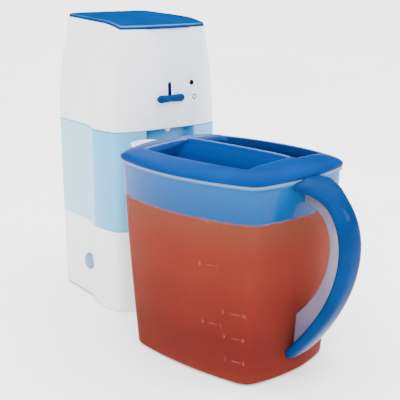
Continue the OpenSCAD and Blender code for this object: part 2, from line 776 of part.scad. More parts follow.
module brew_housing() {
    color(white_plastic) in_tower() difference() {
        union() {
            difference() {
                tower_loft([for (z = housing_levels) housing_ring(z, 0)]);
                tower_loft([housing_ring(seam_z - cut, shell_wall), housing_ring(brew_floor_z, shell_wall)]);
                tower_loft([for (z = inner_levels) housing_ring(z, shell_wall)]);
                above_rim();
            }
            hinge_ears();
            // fences that lead the brewed tea to the nozzle
            for (sx = [-1, 1])
                translate([sx * trough_half_w - (sx < 0 ? trough_wall : 0),
                    nozzle_y - 4, brew_deck_z - shell_wall / 2])
                    cube([trough_wall, trough_l, trough_h + shell_wall / 2]);
        }
        translate([-ear_x - ear_l - cut, hinge_y, hinge_z]) rotate([0, 90, 0])
            rod(pin_d + 0.02, 0, 2 * (ear_x + ear_l + cut));
        // slot of the strength lever
        translate([0, 0, lever_z]) rotate([90, 0, 0]) linear_extrude(tower_d) union() {
            for (z = [0, lever_travel]) translate([0, z]) circle(d = slot_w, $fn = small_fn);
            translate([-slot_w / 2, 0]) square([slot_w, lever_travel]);
        }
        translate([0, nozzle_y, 0]) rod(nozzle_d + 0.1, brew_floor_z - cut, brew_deck_z + cut);
        translate([pipe_x, pipe_y, 0])
            rod(riser_d + 2 * move_gap, brew_floor_z - cut, brew_deck_z + cut);
    }
}

module drip_nozzle() {
    color(white_plastic) in_tower() translate([0, nozzle_y, 0])
        difference() {
            rotate_extrude($fn = small_fn)
                polygon([[0, nozzle_low_z], [nozzle_d / 2 - 0.6, nozzle_low_z],
                    [nozzle_d / 2, nozzle_low_z + 2], [nozzle_d / 2, brew_deck_z],
                    [0, brew_deck_z]]);
            rod(nozzle_bore, nozzle_low_z - cut, brew_deck_z + cut);
        }
}

module hinge_pin() {
    color(metal_grey) in_tower() translate([0, hinge_y, hinge_z]) rotate([0, 90, 0])
        rod(pin_d, -ear_x - ear_l, ear_x + ear_l);
}

basket_z = brew_deck_z + seat_gap;
basket_r = 12;
basket_flange = 2;
basket_h = rim_front_z - spray_room - basket_z;
basket_top = basket_z + basket_h;
seat_d = seat_bore + 3;
module brew_basket() {
    color(white_plastic) in_tower() difference() {
        translate([0, basket_y, 0]) difference() {
            union() {
                translate([0, 0, basket_z]) linear_extrude(basket_h)
                    polygon(round_rect(basket_half_w, basket_half_d, basket_r));
                translate([0, 0, basket_top - 2]) linear_extrude(2)
                    polygon(round_rect(basket_half_w + basket_flange,
                        basket_half_d + basket_flange, basket_r + basket_flange));
            }
            translate([0, 0, basket_z + basket_wall]) linear_extrude(basket_h)
                polygon(round_rect(basket_half_w - basket_wall,
                    basket_half_d - basket_wall, basket_r - basket_wall));
        }
        translate([0, basket_y - basket_half_d - cut, seat_z]) rotate([-90, 0, 0])
            rod(seat_d + 0.1, 0, basket_wall + 2 * cut);
    }
}

screen_lift = 4;
screen_t = 1.4;
screen_pitch = 9;
screen_hole = 4;
screen_gap = 0.4;
module filter_screen() {
    half_x = basket_half_w - basket_wall - screen_gap;
    half_y = basket_half_d - basket_wall - screen_gap;
    nx = floor((half_x - 5) / screen_pitch);
    ny = floor((half_y - 5) / screen_pitch);
    color(grey_blue) in_tower() translate([0, basket_y, basket_z + basket_wall]) difference() {
        union() {
            translate([0, 0, screen_lift]) linear_extrude(screen_t)
                polygon(round_rect(half_x, half_y, basket_r - basket_wall - screen_gap));
            for (sx = [-1, 1], sy = [-1, 1])
                translate([sx * (half_x - 12), sy * (half_y - 10), 0])
                    rod(5, seat_gap, screen_lift + eps);
        }
        for (ix = [-nx:nx], iy = [-ny:ny])
            if (abs(ix) != nx || abs(iy) != ny)
                translate([ix * screen_pitch, iy * screen_pitch, 0])
                    rod(screen_hole, screen_lift - cut, screen_lift + screen_t + cut);
    }
}

arm_z = basket_top + 9.6;
arm_d = 8;
arm_foot_d = riser_d + 4;
elbow_d = arm_d + 0.8;
arm_bore = riser_bore - 0.8;
drop_d = arm_d - 1;
drop_bore = arm_bore - 0.8;
arm_run = norm([pipe_x, pipe_y - basket_y]);
arm_turn = atan2(basket_y - pipe_y, -pipe_x);
module spray_arm() {
    color(white_plastic) in_tower() difference() {
        union() {
            translate([pipe_x, pipe_y, 0]) {
                rod(arm_foot_d, brew_deck_z + seat_gap, brew_deck_z + 8);
                rod(arm_d, brew_deck_z + 7, arm_z);
                translate([0, 0, arm_z]) sphere(d = elbow_d, $fn = round_fn);
                translate([0, 0, arm_z]) rotate([0, 90, arm_turn]) rod(arm_d, 0, arm_run);
            }
            translate([0, basket_y, 0]) {
                rod(drop_d, spray_z + spray_t + seat_gap, arm_z);
                translate([0, 0, arm_z]) sphere(d = elbow_d, $fn = round_fn);
            }
        }
        translate([pipe_x, pipe_y, 0]) {
            rod(riser_d + 2 * move_gap, brew_deck_z - cut, riser_top_z + 1);
            rod(riser_bore, riser_top_z, arm_z + 1.5);
            translate([0, 0, arm_z]) rotate([0, 90, arm_turn]) rod(arm_bore, 0, arm_run);
        }
        translate([0, basket_y, 0]) rod(drop_bore, spray_z, arm_z + 1);
    }
}

spray_t = 3;
spray_z = basket_top + 1;
module spray_head() {
    color(white_plastic) in_tower() translate([0, basket_y, 0]) difference() {
        rod(spray_d, spray_z, spray_z + spray_t);
        rod(drop_bore, spray_z + 1, spray_z + spray_t + cut);
        rod(spray_d - 4, spray_z + 1, spray_z + 2);
        for (ring = [[6, 9], [12, spray_d / 2 - 8]], i = [0:ring[0] - 1])
            rotate(360 * i / ring[0]) translate([ring[1], 0, 0])
                rod(2.2, spray_z - cut, spray_z + 1.5);
    }
}

seat_lip = 2;                  // how far the valve seat stands out of the basket
seat_front = basket_y - basket_half_d - seat_lip;
module valve_seat() {
    color(rubber_grey) in_tower() translate([0, seat_front, seat_z]) rotate([-90, 0, 0])
        difference() {
            union() {
                rod(seat_d, 0, seat_lip + basket_wall + screen_gap / 2);
                rod(seat_d + 4, 0, seat_lip - seat_gap);
            }
            rod(seat_bore, -cut, 2 * seat_lip + basket_wall);
        }
}

// ---- strength lever ----

gate_t = 2;
gate_half_w = 8;
gate_h = 16;
gate_y = seat_front - move_gap - gate_t;
shield_half_w = 6;
shield_t = 1.5;
shield_front = tower_front_y(seam_z) - front_bow + shell_wall + housing_panel + 1.8;
shield_low = lever_z - 13;
shield_top = lever_z + lever_travel + 3.5;
knob_back = tower_front_y(lever_z) - tower_bow(lever_z) + panel_depth(lever_z) - floor_bow - move_gap;
knob_dish_r = 58;              // radius of the dish across the knob's front
knob_dish = 1.4;               // depth of that dish
module strength_lever() {
    color(blue_plastic) in_tower() {
        // wing knob: a bar with round ends, dished towards its middle
        translate([0, knob_back, lever_z]) rotate([90, 0, 0]) difference() {
            linear_extrude(knob_t) union() {
                for (sx = [-1, 1]) translate([sx * (knob_w - knob_h) / 2, 0])
                    circle(d = knob_h, $fn = round_fn);
                translate([-(knob_w - knob_h) / 2, -knob_h / 2]) square([knob_w - knob_h, knob_h]);
            }
            translate([0, 0, knob_t + knob_dish_r - knob_dish]) rotate([90, 0, 0])
                rod(2 * knob_dish_r, -knob_h, knob_h);
        }
        translate([0, knob_back, lever_z]) rotate([-90, 0, 0])
            rod(stem_d, -knob_t / 2, gate_y - knob_back);
        translate([-shield_half_w, shield_front, shield_low])
            cube([2 * shield_half_w, shield_t, shield_top - shield_low]);
    }
}

module valve_gate() {
    color(silicone) in_tower()
        translate([-gate_half_w, gate_y, lever_z - gate_h + 4])
            cube([2 * gate_half_w, gate_t, gate_h]);
}

// ---- tower lid ----

lid_inset = 0.5;
lid_edge_t = 2.6;
lid_lip_w = 3;
tab_half_d = 3;                // half-depth of the finger tab
tab_t = 1.7;
tab_z = rim_front_z + move_gap + 0.3;
arm_root_y = hinge_y - knuckle_r - 5;          // front end of the lid's hinge arm
arm_low_z = rim_back_z + move_gap + 0.4;
arm_top_z = rim_back_z + 2.8;
function lid_outline() = let(
    rough = mirrored(tower_half(rim_back_z, lid_inset, 0.1))
) [for (i = [0:len(rough) - 1]) let(z = rim_z(rough[i].y) + move_gap)
    concat(mirrored(tower_half(z, lid_inset, 0.1))[i], [z])];
lid_mid_y = (tower_front_y(top_z) + tower_back_y(top_z)) / 2;
// A ring of the lid's top: share 1 is at the edge and 0 in the middle, drop is below the top
function lid_ring(outline, share, drop) = [for (p = outline)
    [p.x * share, lid_mid_y + (p.y - lid_mid_y) * share,
     lerp(tower_h, p.z + lid_edge_t, pow(share, 2.2)) - drop]];
// A ring of the lid's underside, which runs parallel to the rim below it
function lid_edge(outline, share, lift) = [for (p = outline)
    let(y = lid_mid_y + (p.y - lid_mid_y) * share)
    [p.x * share, y, rim_z(y) + move_gap + lift]];

module tower_lid() {
    outline = lid_outline();
    lip = 1 - lid_lip_w / (tower_w / 2);
    tab_front = tower_front_y(rim_front_z) - tower_bow(rim_front_z) - tab_reach;
    color(blue_plastic) in_tower() difference() {
        union() {
            loft(concat(
                [for (s = [0.3, 0.6, 0.8, lip - 0.02]) lid_ring(outline, s, lid_t)],
                [lid_edge(outline, lip, 0), lid_edge(outline, 1, 0), lid_edge(outline, 1, 1.5)],
                [for (s = [0.985, 0.95, 0.85, 0.7, 0.5, 0.3]) lid_ring(outline, s, 0)]),
                [[0, lid_mid_y, tower_h - lid_t], [0, lid_mid_y, tower_h]]);
            // finger tab
            translate([0, tab_front + tab_half_d, tab_z]) linear_extrude(tab_t)
                polygon(round_rect(tab_w / 2, tab_half_d, tab_half_d - 0.5));
            // hinge knuckle and its arm
            translate([-knuckle_l / 2, 0, 0]) rotate([90, 0, 90]) linear_extrude(knuckle_l) union() {
                polygon([[arm_root_y, arm_low_z], [hinge_y - knuckle_r, arm_low_z],
                    [hinge_y - knuckle_r, hinge_z], [hinge_y + knuckle_r, hinge_z],
                    [hinge_y + knuckle_r, hinge_z + 1.5], [hinge_y + 0.6, arm_top_z - 0.2],
                    [arm_root_y, arm_top_z]]);
                translate([hinge_y, hinge_z]) circle(r = knuckle_r, $fn = small_fn);
            }
        }
        translate([-knuckle_l / 2 - cut, hinge_y, hinge_z]) rotate([0, 90, 0])
            rod(pin_d + 2 * pin_gap, 0, knuckle_l + 2 * cut);
    }
}

// ---- pitcher ----

module in_pitcher() {
    translate([tower_x + pitcher_dx, tower_y - pitcher_dy, 0])
        rotate(pitcher_turn - 90) children();
}

// A rectangle whose sides bow out, as points. The bows are those of the sides along the
// length, of the handle end at +X and of the spout end at -X.
function bowed_rect(half_l, half_w, bow_side, bow_handle, bow_spout, r) = let(
    corner = [[half_l, -half_w], [half_l, half_w], [-half_l, half_w], [-half_l, -half_w]],
    out = [[1, 0], [0, 1], [-1, 0], [0, -1]],
    bow = [bow_handle, bow_side, bow_spout, bow_side],
    steps = [8, 14, 8, 14],
    part = [for (k = [0:3]) min(0.4, r / norm(corner[(k + 1) % 4] - corner[k]))],
    on_side = function (k, t)
        lerp(corner[k], corner[(k + 1) % 4], t) + out[k] * bow[k] * 4 * t * (1 - t)
) [for (k = [0:3]) each concat(
    [for (i = [0:steps[k]]) on_side(k, lerp(part[k], 1 - part[k], i / steps[k]))],
    [for (i = [1:3]) bend2(on_side(k, 1 - part[k]), corner[(k + 1) % 4],
        on_side((k + 1) % 4, part[(k + 1) % 4]), i / 4)]
)];

belly_power = 1.4;      // how much faster the pitcher narrows near its floor
function widening(z) = 1 - pow(1 - clamp01(z / pitcher_h), belly_power);
function pitcher_outline(z, t) = let(g = widening(z)) bowed_rect(
    lerp(floor_half_l, rim_half_l, g) - t, lerp(floor_half_w, rim_half_w, g) - t,
    lerp(floor_side_bow, rim_side_bow, g), lerp(floor_end_bow, rim_end_bow, g),
    lerp(floor_end_bow, rim_end_bow, g), corner_r);
function pitcher_ring(z, t) = at_height(pitcher_outline(z, t), z);
body_levels = [20, 45, 75, 110, 145];
flange_z = pitcher_h - 3.4;

// The spout's outline at a height: a U whose reach grows towards the rim
spout_low_z = pitcher_h - spout_drop;
spout_root_x = -rim_half_l - 3.75;
lid_spout_x = -rim_half_l - lid_spout_bow;     // where the lid's spout end reaches
spout_blunt = 0.86;     // below 1, the spout's nose is blunter than an ellipse
function spout_top(x) = spout_rise * (x - lid_spout_x) / (-spout_reach - lid_spout_x);
function spout_ring(z, t, lift = 0) = let(
    g = pow(clamp01((z - spout_low_z) / spout_drop), 0.8),
    reach = lerp(5, spout_reach + spout_root_x, g) - t,
    half_w = lerp(9, spout_half_w, g) - t,
    flat = concat(
        [[spout_root_x + 18, half_w]],
        [for (i = [0:14]) let(a = 90 + 180 * i / 14)
            [spout_root_x - reach * pow(abs(cos(a)), spout_blunt),
             half_w * sign(sin(a)) * pow(abs(sin(a)), spout_blunt)]],
        [[spout_root_x + 18, -half_w]])
) [for (p = flat) [p.x, p.y, z + lift + g * spout_top(p.x)]];

// The handle's mid-line in the XZ plane, from the rim down to the foot of the wall
handle_top = [rim_half_l + 5.75, pitcher_h - 4];
handle_side = [handle_reach, handle_mid_z];
handle_foot = [floor_half_l + 10, 19];
function handle_at(u) = u < 1
    ? bend3(handle_top, [handle_reach - 21, handle_top.y], [handle_reach, handle_mid_z + 30],
        handle_side, u)
    : bend3(handle_side, [handle_reach, handle_mid_z - 36], [handle_reach - 23, 50],
        handle_foot, u - 1);
function handle_dir(u) = let(d = handle_at(min(u + 0.01, 2)) - handle_at(max(u - 0.01, 0)))
    d / norm(d);
// Unit vector out of the handle's loop
function handle_out(u) = let(d = handle_dir(u)) [-d.y, d.x];
function rib_in(u) = rib_reach + 12 * pow(clamp01(u - 1), 3);

module handle_rib() {
    steps = 24;
    rotate([90, 0, 0]) translate([0, 0, -rib_half_t]) linear_extrude(2 * rib_half_t)
        polygon(concat(
            [for (i = [0:steps]) let(u = 2 * i / steps) handle_at(u)],
            [for (i = [steps:-1:0]) let(u = 2 * i / steps) handle_at(u) - handle_out(u) * rib_in(u)]));
}

module pitcher_outside(t = 0) {
    loft(concat(
        [pitcher_ring(0, 2.5 + t), pitcher_ring(0.8, 1 + t)],
        [for (z = concat([2.5], body_levels)) pitcher_ring(z, t)],
        [pitcher_ring(flange_z - 1.4, t), pitcher_ring(flange_z, t - flange_w),
         pitcher_ring(pitcher_h, t - flange_w)]));
}

module pitcher_body() {
    color(clear_plastic) in_pitcher() difference() {
        union() {
            pitcher_outside();
            loft([for (i = [0:6]) spout_ring(lerp(spout_low_z, pitcher_h, i / 6), 0)]);
            handle_rib();
        }
        loft(concat(
            [pitcher_ring(pitcher_wall, pitcher_wall + 2)],
            [for (z = concat([5], body_levels)) pitcher_ring(z, pitcher_wall)],
            [pitcher_ring(pitcher_h + eps, pitcher_wall)]));
        loft([for (i = [0:6])
            spout_ring(lerp(spout_low_z + 3, pitcher_h, i / 6), pitcher_wall, i < 6 ? 0 : cut)]);
        // shallow recess under the floor
        translate([0, 0, -cut]) linear_extrude(cut + 0.8)
            polygon(pitcher_outline(0, 9));
    }
}

grip_rings = 20;
root_half_t = 5;        // half-thickness of the grip at both its ends
function grip_half_at(u) = u < 0.55
    ? lerp(handle_root_half_w, grip_half_w, smooth(clamp01(u / 0.55)))
    : lerp(grip_half_w, foot_half_w, smooth(clamp01((u - 1.4) / 0.6)));
function grip_t_at(u) = u < 0.5 ? lerp(root_half_t, grip_half_t, u / 0.5)
    : lerp(grip_half_t, root_half_t, smooth(clamp01((u - 1.3) / 0.7)));
// Section of the grip: a rounded bar, flatter on the side towards the pitcher
function grip_ring(u, shrink = 1) = let(
    p = handle_at(u), out = handle_out(u),
    w = grip_half_at(u) * shrink, h = grip_t_at(u) * shrink
) [for (i = [0:15]) let(
        a = 360 * i / 16,
        c = cos(a), s = sin(a),
        y = w * sign(c) * pow(abs(c), 0.65),
        n = h * sign(s) * pow(abs(s), s > 0 ? 0.85 : 0.6)
    ) [p.x + out.x * n, y, p.y + out.y * n]];

module handle_grip() {
    color(blue_plastic) in_pitcher() difference() {
        loft([for (i = [0:grip_rings]) grip_ring(2 * i / grip_rings)]);
        pitcher_outside(-seat_gap);
        // room for the lid's edge over the rim
        translate([0, 0, pitcher_h - 10]) linear_extrude(30)
            polygon(pitcher_outline(pitcher_h, -flange_w - lid_overhang - move_gap));
        // groove that takes the pitcher's own rib
        rotate([90, 0, 0]) translate([0, 0, -rib_half_t - seat_gap])
            linear_extrude(2 * (rib_half_t + seat_gap))
                polygon(concat(
                    [for (i = [0:24]) let(u = 2 * i / 24) handle_at(u) + handle_out(u) * seat_gap],
                    [for (i = [24:-1:0]) let(u = 2 * i / 24)
                        handle_at(u) - handle_out(u) * (rib_in(u) + 1)]));
    }
}

// ---- pitcher lid ----

lid_overhang = 0.3;
lid_base_z = pitcher_h + move_gap;
plug_gap = 0.5;
function pitcher_lid_ring(t, side_bow, z) = at_height(bowed_rect(
    rim_half_l - t, rim_half_w - t, side_bow, rim_end_bow, lid_spout_bow, corner_r), z);
// Rings of the lid's top from its rounded edge to the crown
function lid_top_rings(drop) = [
    for (q = [[-flange_w - lid_overhang, 1, lid_edge_h - 1.4], [-flange_w, 1, lid_edge_h - 0.3],
              [1.5, 0.94, lid_edge_h + 2.1], [6, 0.75, lid_edge_h + 4.4],
              [12, 0.6, lid_edge_h + 6.0], [20, 0.42, lid_crown_h - 2],
              [36, 0.2, lid_crown_h - 0.7], [54, 0.1, lid_crown_h]])
        pitcher_lid_ring(q[0], rim_side_bow * q[1], pitcher_h + q[2] - drop)
];

// Outline of the well in front of the grip bar's crest, or behind it, shrunk by t
well_near = rim_half_w - 10.5;   // how far the near well reaches from the lid's middle
well_far = rim_half_w - 0.5;
well_half_l = rim_half_l - 19.25;
well_bow = [5, 9];      // how far the wells' outer sides bow out
crest_w = 2.4;          // width of the bar's crest
scoop_y = -20;          // where the near well's floor turns into its slope
well_floor_z = pitcher_h + lid_edge_h + 3 - well_depth;
crest_z = pitcher_h + lid_crown_h - 0.6;
function well_outline(side, t) = let(
    y_bar = side < 0 ? crest_y - t : crest_y + crest_w + t,
    y_far = side < 0 ? -(well_near - t) : well_far - t,
    x_end = well_half_l - t,
    bow = well_bow[side < 0 ? 0 : 1]
) concat(
    [[-x_end, y_bar], [x_end, y_bar]],
    [for (i = [0:10]) let(s = i / 10) [lerp(x_end, -x_end, s), y_far + side * bow * 4 * s * (1 - s)]]
);

// The room above the near well's floor and above the concave slope that rises from it to
// the crest, lowered by drop
scoop_steps = 8;
module above_scoop(drop) {
    translate([-rim_half_l, 0, 0]) rotate([90, 0, 90]) linear_extrude(2 * rim_half_l)
        polygon(concat(
            [[-2 * rim_half_w, well_floor_z - drop]],
            [for (i = [0:scoop_steps]) let(s = i / scoop_steps)
                [lerp(scoop_y, crest_y + drop, s), lerp(well_floor_z, crest_z, pow(s, 1.7)) - drop]],
            [[crest_y + drop, 2 * pitcher_h], [-2 * rim_half_w, 2 * pitcher_h]]));
}

// A well's room: the near one over its scoop, the far one over a flat floor
module well_room(side, t, drop) {
    intersection() {
        translate([0, 0, well_floor_z - drop]) linear_extrude(60) polygon(well_outline(side, t));
        if (side < 0) above_scoop(drop);
        else
            translate([-rim_half_l, 0, well_floor_z - drop])
                cube([2 * rim_half_l, 2 * rim_half_w, 2 * well_depth]);
    }
}

strainer_pitch = 6;
strainer_w = 3.2;
module pitcher_lid() {
    color(blue_plastic) in_pitcher() difference() {
        union() {
            difference() {
                loft(concat([pitcher_lid_ring(-flange_w - lid_overhang, rim_side_bow, lid_base_z)],
                    lid_top_rings(0)));
                loft(concat([pitcher_lid_ring(pitcher_wall + plug_gap + pitcher_lid_t,
                    rim_side_bow, lid_base_z - cut)], lid_top_under()));
            }
            // plug ring inside the rim
            difference() {
                translate([0, 0, pitcher_h - plug_h]) linear_extrude(plug_h + lid_edge_h)
                    polygon(plug_outline(0));
                translate([0, 0, pitcher_h - plug_h - cut]) linear_extrude(plug_h + lid_edge_h + 2 * cut)
                    polygon(plug_outline(pitcher_lid_t));
                for (i = [0:strainer_slots - 1])
                    translate([-rim_half_l - 20,
                        (i - (strainer_slots - 1) / 2) * strainer_pitch - strainer_w / 2,
                        pitcher_h - plug_h - cut])
                        cube([40, strainer_w, plug_h - 1]);
            }
            // the two wells
            intersection() {
                for (side = [-1, 1]) well_room(side, -pitcher_lid_t, pitcher_lid_t);
                loft(concat([pitcher_lid_ring(pitcher_wall + plug_gap, rim_side_bow, pitcher_h - 30)],
                    lid_top_rings(0.5)));
            }
        }
        for (side = [-1, 1]) well_room(side, 0, 0);
    }
}
function lid_top_under() = [for (r = lid_top_rings(pitcher_lid_t)) if (r[0].z > 0) r];
function plug_outline(t) = let(in = pitcher_wall + plug_gap + t)
    bowed_rect(rim_half_l - in, rim_half_w - in, rim_side_bow, rim_end_bow, rim_end_bow, corner_r);

base_housing();
bottom_plate();
rubber_feet();
base_screws();
heater_tube();
heater_element();
heater_bracket();
thermostat();
thermal_fuse();
inlet_valve();
inlet_valve_ball();
inlet_hose();
outlet_hose();
hose_clamps();
riser_tube();
power_switch();
cord_bushing();
reservoir();
reservoir_gasket();
brew_button();
button_spring();
brew_housing();
brew_basket();
filter_screen();
spray_arm();
spray_head();
valve_seat();
drip_nozzle();
hinge_pin();
strength_lever();
valve_gate();
tower_lid();
pitcher_body();
handle_grip();
pitcher_lid();
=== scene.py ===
import math

import bmesh
import bpy
import numpy as np
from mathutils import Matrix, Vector
from mathutils.geometry import delaunay_2d_cdt


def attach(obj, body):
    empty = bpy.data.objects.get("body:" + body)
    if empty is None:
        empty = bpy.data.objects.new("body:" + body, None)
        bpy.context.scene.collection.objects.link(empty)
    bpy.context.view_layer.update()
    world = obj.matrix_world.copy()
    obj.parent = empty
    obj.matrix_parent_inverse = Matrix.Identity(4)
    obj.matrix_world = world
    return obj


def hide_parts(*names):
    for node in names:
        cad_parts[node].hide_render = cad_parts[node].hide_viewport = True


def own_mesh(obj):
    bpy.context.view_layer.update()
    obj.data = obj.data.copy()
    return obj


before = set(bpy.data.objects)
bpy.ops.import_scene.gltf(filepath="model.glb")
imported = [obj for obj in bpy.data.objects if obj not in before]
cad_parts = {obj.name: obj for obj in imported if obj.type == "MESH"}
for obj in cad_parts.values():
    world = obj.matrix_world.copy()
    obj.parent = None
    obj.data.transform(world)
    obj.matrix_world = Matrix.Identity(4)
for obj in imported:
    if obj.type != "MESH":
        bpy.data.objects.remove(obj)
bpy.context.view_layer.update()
scene = bpy.context.scene
MM = 0.001
TAU = 2 * math.pi

# ---- sizes of the part, in mm
# where the two units stand, and how far the pitcher is turned
TOWER_AT = (14.5, 131.0)
PITCHER_AT = (-3.0, -60.0)
PITCHER_TURN = math.radians(10.6 - 90)
# the tower's outline: front lobes with a channel between them, sides that swell, round corners
TOWER_W, TOWER_D, FRONT_BOW = 119.0, 122.0, 10.0
SWELL, CREST, SWELL_END = 6.5, 30.0, 59.0
REAR_R, FRONT_R = 9.0, 3.0
CHANNEL_W, CHANNEL_D, BLEND = 54.0, 11.0, 2.2
# the tower's heights and walls, and the base's foot, which is lifted from LIFT_FROM to the back
BASE_H, SEAM, RIM_FRONT, RIM_BACK, TOP = 85.4, 186.5, 284.5, 292.4, 297.5
DECK, BREW_FLOOR, BREW_DECK = 79.0, 197.5, 199.9
WALL, RES_WALL, FOOT_LIFT, LIFT_FROM = 2.4, 2.2, 2, 33
# the lid's hinge, the pipes through the reservoir, and the drip nozzle
HINGE_Y, HINGE_Z, KNUCKLE_R = 57.8, 289.0, 3.4
ARM_HALF, EAR_GAP, EAR_W = 18.0, 0.35, 7.0
PIPE_X, PIPE_Y, PIPE_WALL, RISER_HOLE = 22, 42, 1.9, 4.35
NOZZLE_Y, NOZZLE_HOLE = -63.4, 3.05
# the strength lever and the brew button
LEVER_Z, LEVER_TRAVEL, SLOT_R, STEM_R = 216.5, 14, 1.95, 1.6
KNOB_W, KNOB_H, KNOB_T = 31.0, 7.6, 4.6
BUTTON_Z, BUTTON_D, BUTTON_Y, BUTTON_OUT = 39.5, 17.0, -2.0, 3.2
# the pitcher's body: half sizes at the rim and at the floor, how far its sides and ends bow, and
# how its foot is rounded, as heights and insets
PITCHER_H, HALF_L, HALF_W, SIDE_BOW, END_BOW = 177.0, 80.25, 57.5, 15.5, 8.2
FLOOR_L, FLOOR_W, FLOOR_SIDE, FLOOR_END = 69.0, 53.5, 6.9, 9.4
CORNER, P_WALL, FLANGE, OVERHANG = 9.0, 2.2, 1.4, 0.3
FOOT_BEND = ((0.25, 1.6), (0.8, 0.9), (1.6, 0.3), (2.8, 0))
# the spout
SPOUT_REACH, SPOUT_W, SPOUT_RISE, SPOUT_DROP, SPOUT_ROOT = 120.0, 24.0, 2.0, 38.0, -84.0
SPOUT_LOW = PITCHER_H - SPOUT_DROP
# the handle: a blue grip over a clear rib
HANDLE_REACH, HANDLE_Z, GRIP_W, GRIP_T = 131.0, 122.0, 12.0, 5.5
ROOT_W, ROOT_T, FOOT_W, RIB_T, RIB_REACH = 23.0, 5.0, 16.0, 5.0, 17.0
HANDLE_TOP, HANDLE_SIDE, HANDLE_FOOT = (86.0, PITCHER_H - 4), (HANDLE_REACH, HANDLE_Z), (79.0, 19.0)
# the pitcher's lid: its edge, its crown and its two wells with the grip bar between them
EDGE_H, CROWN_H, LID_SPOUT, LID_EDGE, LID_SKIN = 3.4, 12.5, 14.0, -1.7, 1.9
CREST_Y, SCOOP_Y, WELL_FLOOR, WELL_L = 9.0, -20.0, EDGE_H + 3 - 15, 61.0
# seen through the clear wall and floor, the tea reaches almost to their outside
TEA_TOP, TEA_INSET = 145.0, 0.35


# ---- curves
def lerp(a, b, t):
    return a + (b - a) * t


def smooth(t):
    t = np.clip(t, 0, 1)
    return t * t * (3 - 2 * t)


def clamp(t):
    return min(1.0, max(0.0, t))


def steps(a, b, n):
    """From a to b in n equal steps, both ends included."""
    return [lerp(a, b, i / n) for i in range(n + 1)]


def round_over(a, m, e, shares):
    """Points of the curve from a to e that bends towards m."""
    a, m, e = (np.array(p, float) for p in (a, m, e))
    return [tuple(lerp(lerp(a, m, u), lerp(m, e, u), u)) for u in shares]


def arc(cx, cy, r, start, end, n, closed=False):
    """n points round a centre from one angle to another, in radians."""
    return [(cx + r * math.cos(a), cy + r * math.sin(a))
            for a in np.linspace(start, end, n, endpoint=not closed)]


def circle(cx, cy, r, n=40):
    return arc(cx, cy, r, 0, TAU, n, closed=True)


def inset(points, d):
    """The outline moved in by d, for an outline that runs anticlockwise."""
    p = np.array(points)
    e = np.roll(p, -1, 0) - np.roll(p, 1, 0)
    e /= np.linalg.norm(e, axis=1)[:, None] + 1e-9
    return p + d * np.column_stack([-e[:, 1], e[:, 0]])


def level(outline_xy, z):
    """An outline as a flat ring at height z."""
    return np.column_stack([outline_xy, np.full(len(outline_xy), float(z))])


# ---- mesh tools
def place(points, where):
    """Points of the tower's or the pitcher's own frame, in mm, to the world, in metres."""
    p = np.asarray(points, float)
    at, turn = (TOWER_AT, 0.0) if where == "tower" else (PITCHER_AT, PITCHER_TURN)
    c, s = math.cos(turn), math.sin(turn)
    x, y, z = p.T
    return MM * np.column_stack([at[0] + c * x - s * y, at[1] + s * x + c * y, z])


class Shape:
    """Points and faces that are gathered before they become one mesh."""

    def __init__(self, rings=(), caps=True):
        self.points, self.faces = [], []
        if rings:
            self.loft(rings, caps, caps)

    def add(self, points, faces=()):
        base = len(self.points)
        self.points.extend(map(tuple, points))
        self.faces.extend(tuple(base + i for i in f) for f in faces)
        return base

    def loft(self, rings, cap_low=True, cap_high=True):
        """Joins rings of equally many points, and closes the first and the last."""
        n = len(rings[0])
        faces = []
        for a in range(0, (len(rings) - 1) * n, n):
            for i in range(n):
                j = (i + 1) % n
                faces.append((a + i, a + j, a + n + j, a + n + i))
        if cap_low:
            faces.append(tuple(reversed(range(n))))
        if cap_high:
            faces.append(tuple((len(rings) - 1) * n + i for i in range(n)))
        self.add([p for r in rings for p in r], faces)

    def fan(self, ring_base, n, tip, up=True):
        """Closes a ring with triangles that meet in a tip."""
        t = self.add([tip])
        for i in range(n):
            a, b = ring_base + i, ring_base + (i + 1) % n
            self.faces.append((a, b, t) if up else (b, a, t))

    def strip(self, ring_points, previous):
        """Joins a new ring to the points of the previous one, given by their numbers."""
        n = len(ring_points)
        base = self.add(ring_points)
        for i in range(n):
            j = (i + 1) % n
            self.faces.append((previous[i], base + i, base + j, previous[j]))
        return [base + i for i in range(n)]

    def to_object(self, name, where, weld=0.0):
        mesh = bpy.data.meshes.new(name)
        mesh.from_pydata(place(self.points, where).tolist(), [], self.faces)
        if weld:
            rework(mesh, lambda bm: bmesh.ops.remove_doubles(bm, verts=bm.verts, dist=weld * MM))
        mesh.validate()
        rework(mesh, lambda bm: bmesh.ops.recalc_face_normals(bm, faces=bm.faces))
        obj = bpy.data.objects.new(name, mesh)
        scene.collection.objects.link(obj)
        return obj

    def make(self, name, body, material, angle=34, node=None, weld=0.0):
        """A visible piece that rides on a body, in place of the CAD node that it replaces."""
        obj = self.to_object(name, "pitcher" if body.startswith("pitcher") else "tower", weld)
        soften(obj, angle)
        obj.data.materials.append(material)
        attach(obj, body)
        if node:
            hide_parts(node)
        return obj


def rework(mesh, job):
    bm = bmesh.new()
    bm.from_mesh(mesh)
    job(bm)
    bm.to_mesh(mesh)
    bm.free()


def soften(obj, angle):
    """Smooth shading, with edges sharper than the angle (degrees) left sharp."""
    for p in obj.data.polygons:
        p.use_smooth = True
    obj.data.set_sharp_from_angle(angle=math.radians(angle))


def modify(obj, kind, **settings):
    m = obj.modifiers.new(kind, kind)
    for k, v in settings.items():
        setattr(m, k, v)
    bpy.context.view_layer.update()
    with bpy.context.temp_override(object=obj, active_object=obj, selected_objects=[obj]):
        bpy.ops.object.modifier_apply(modifier=m.name)


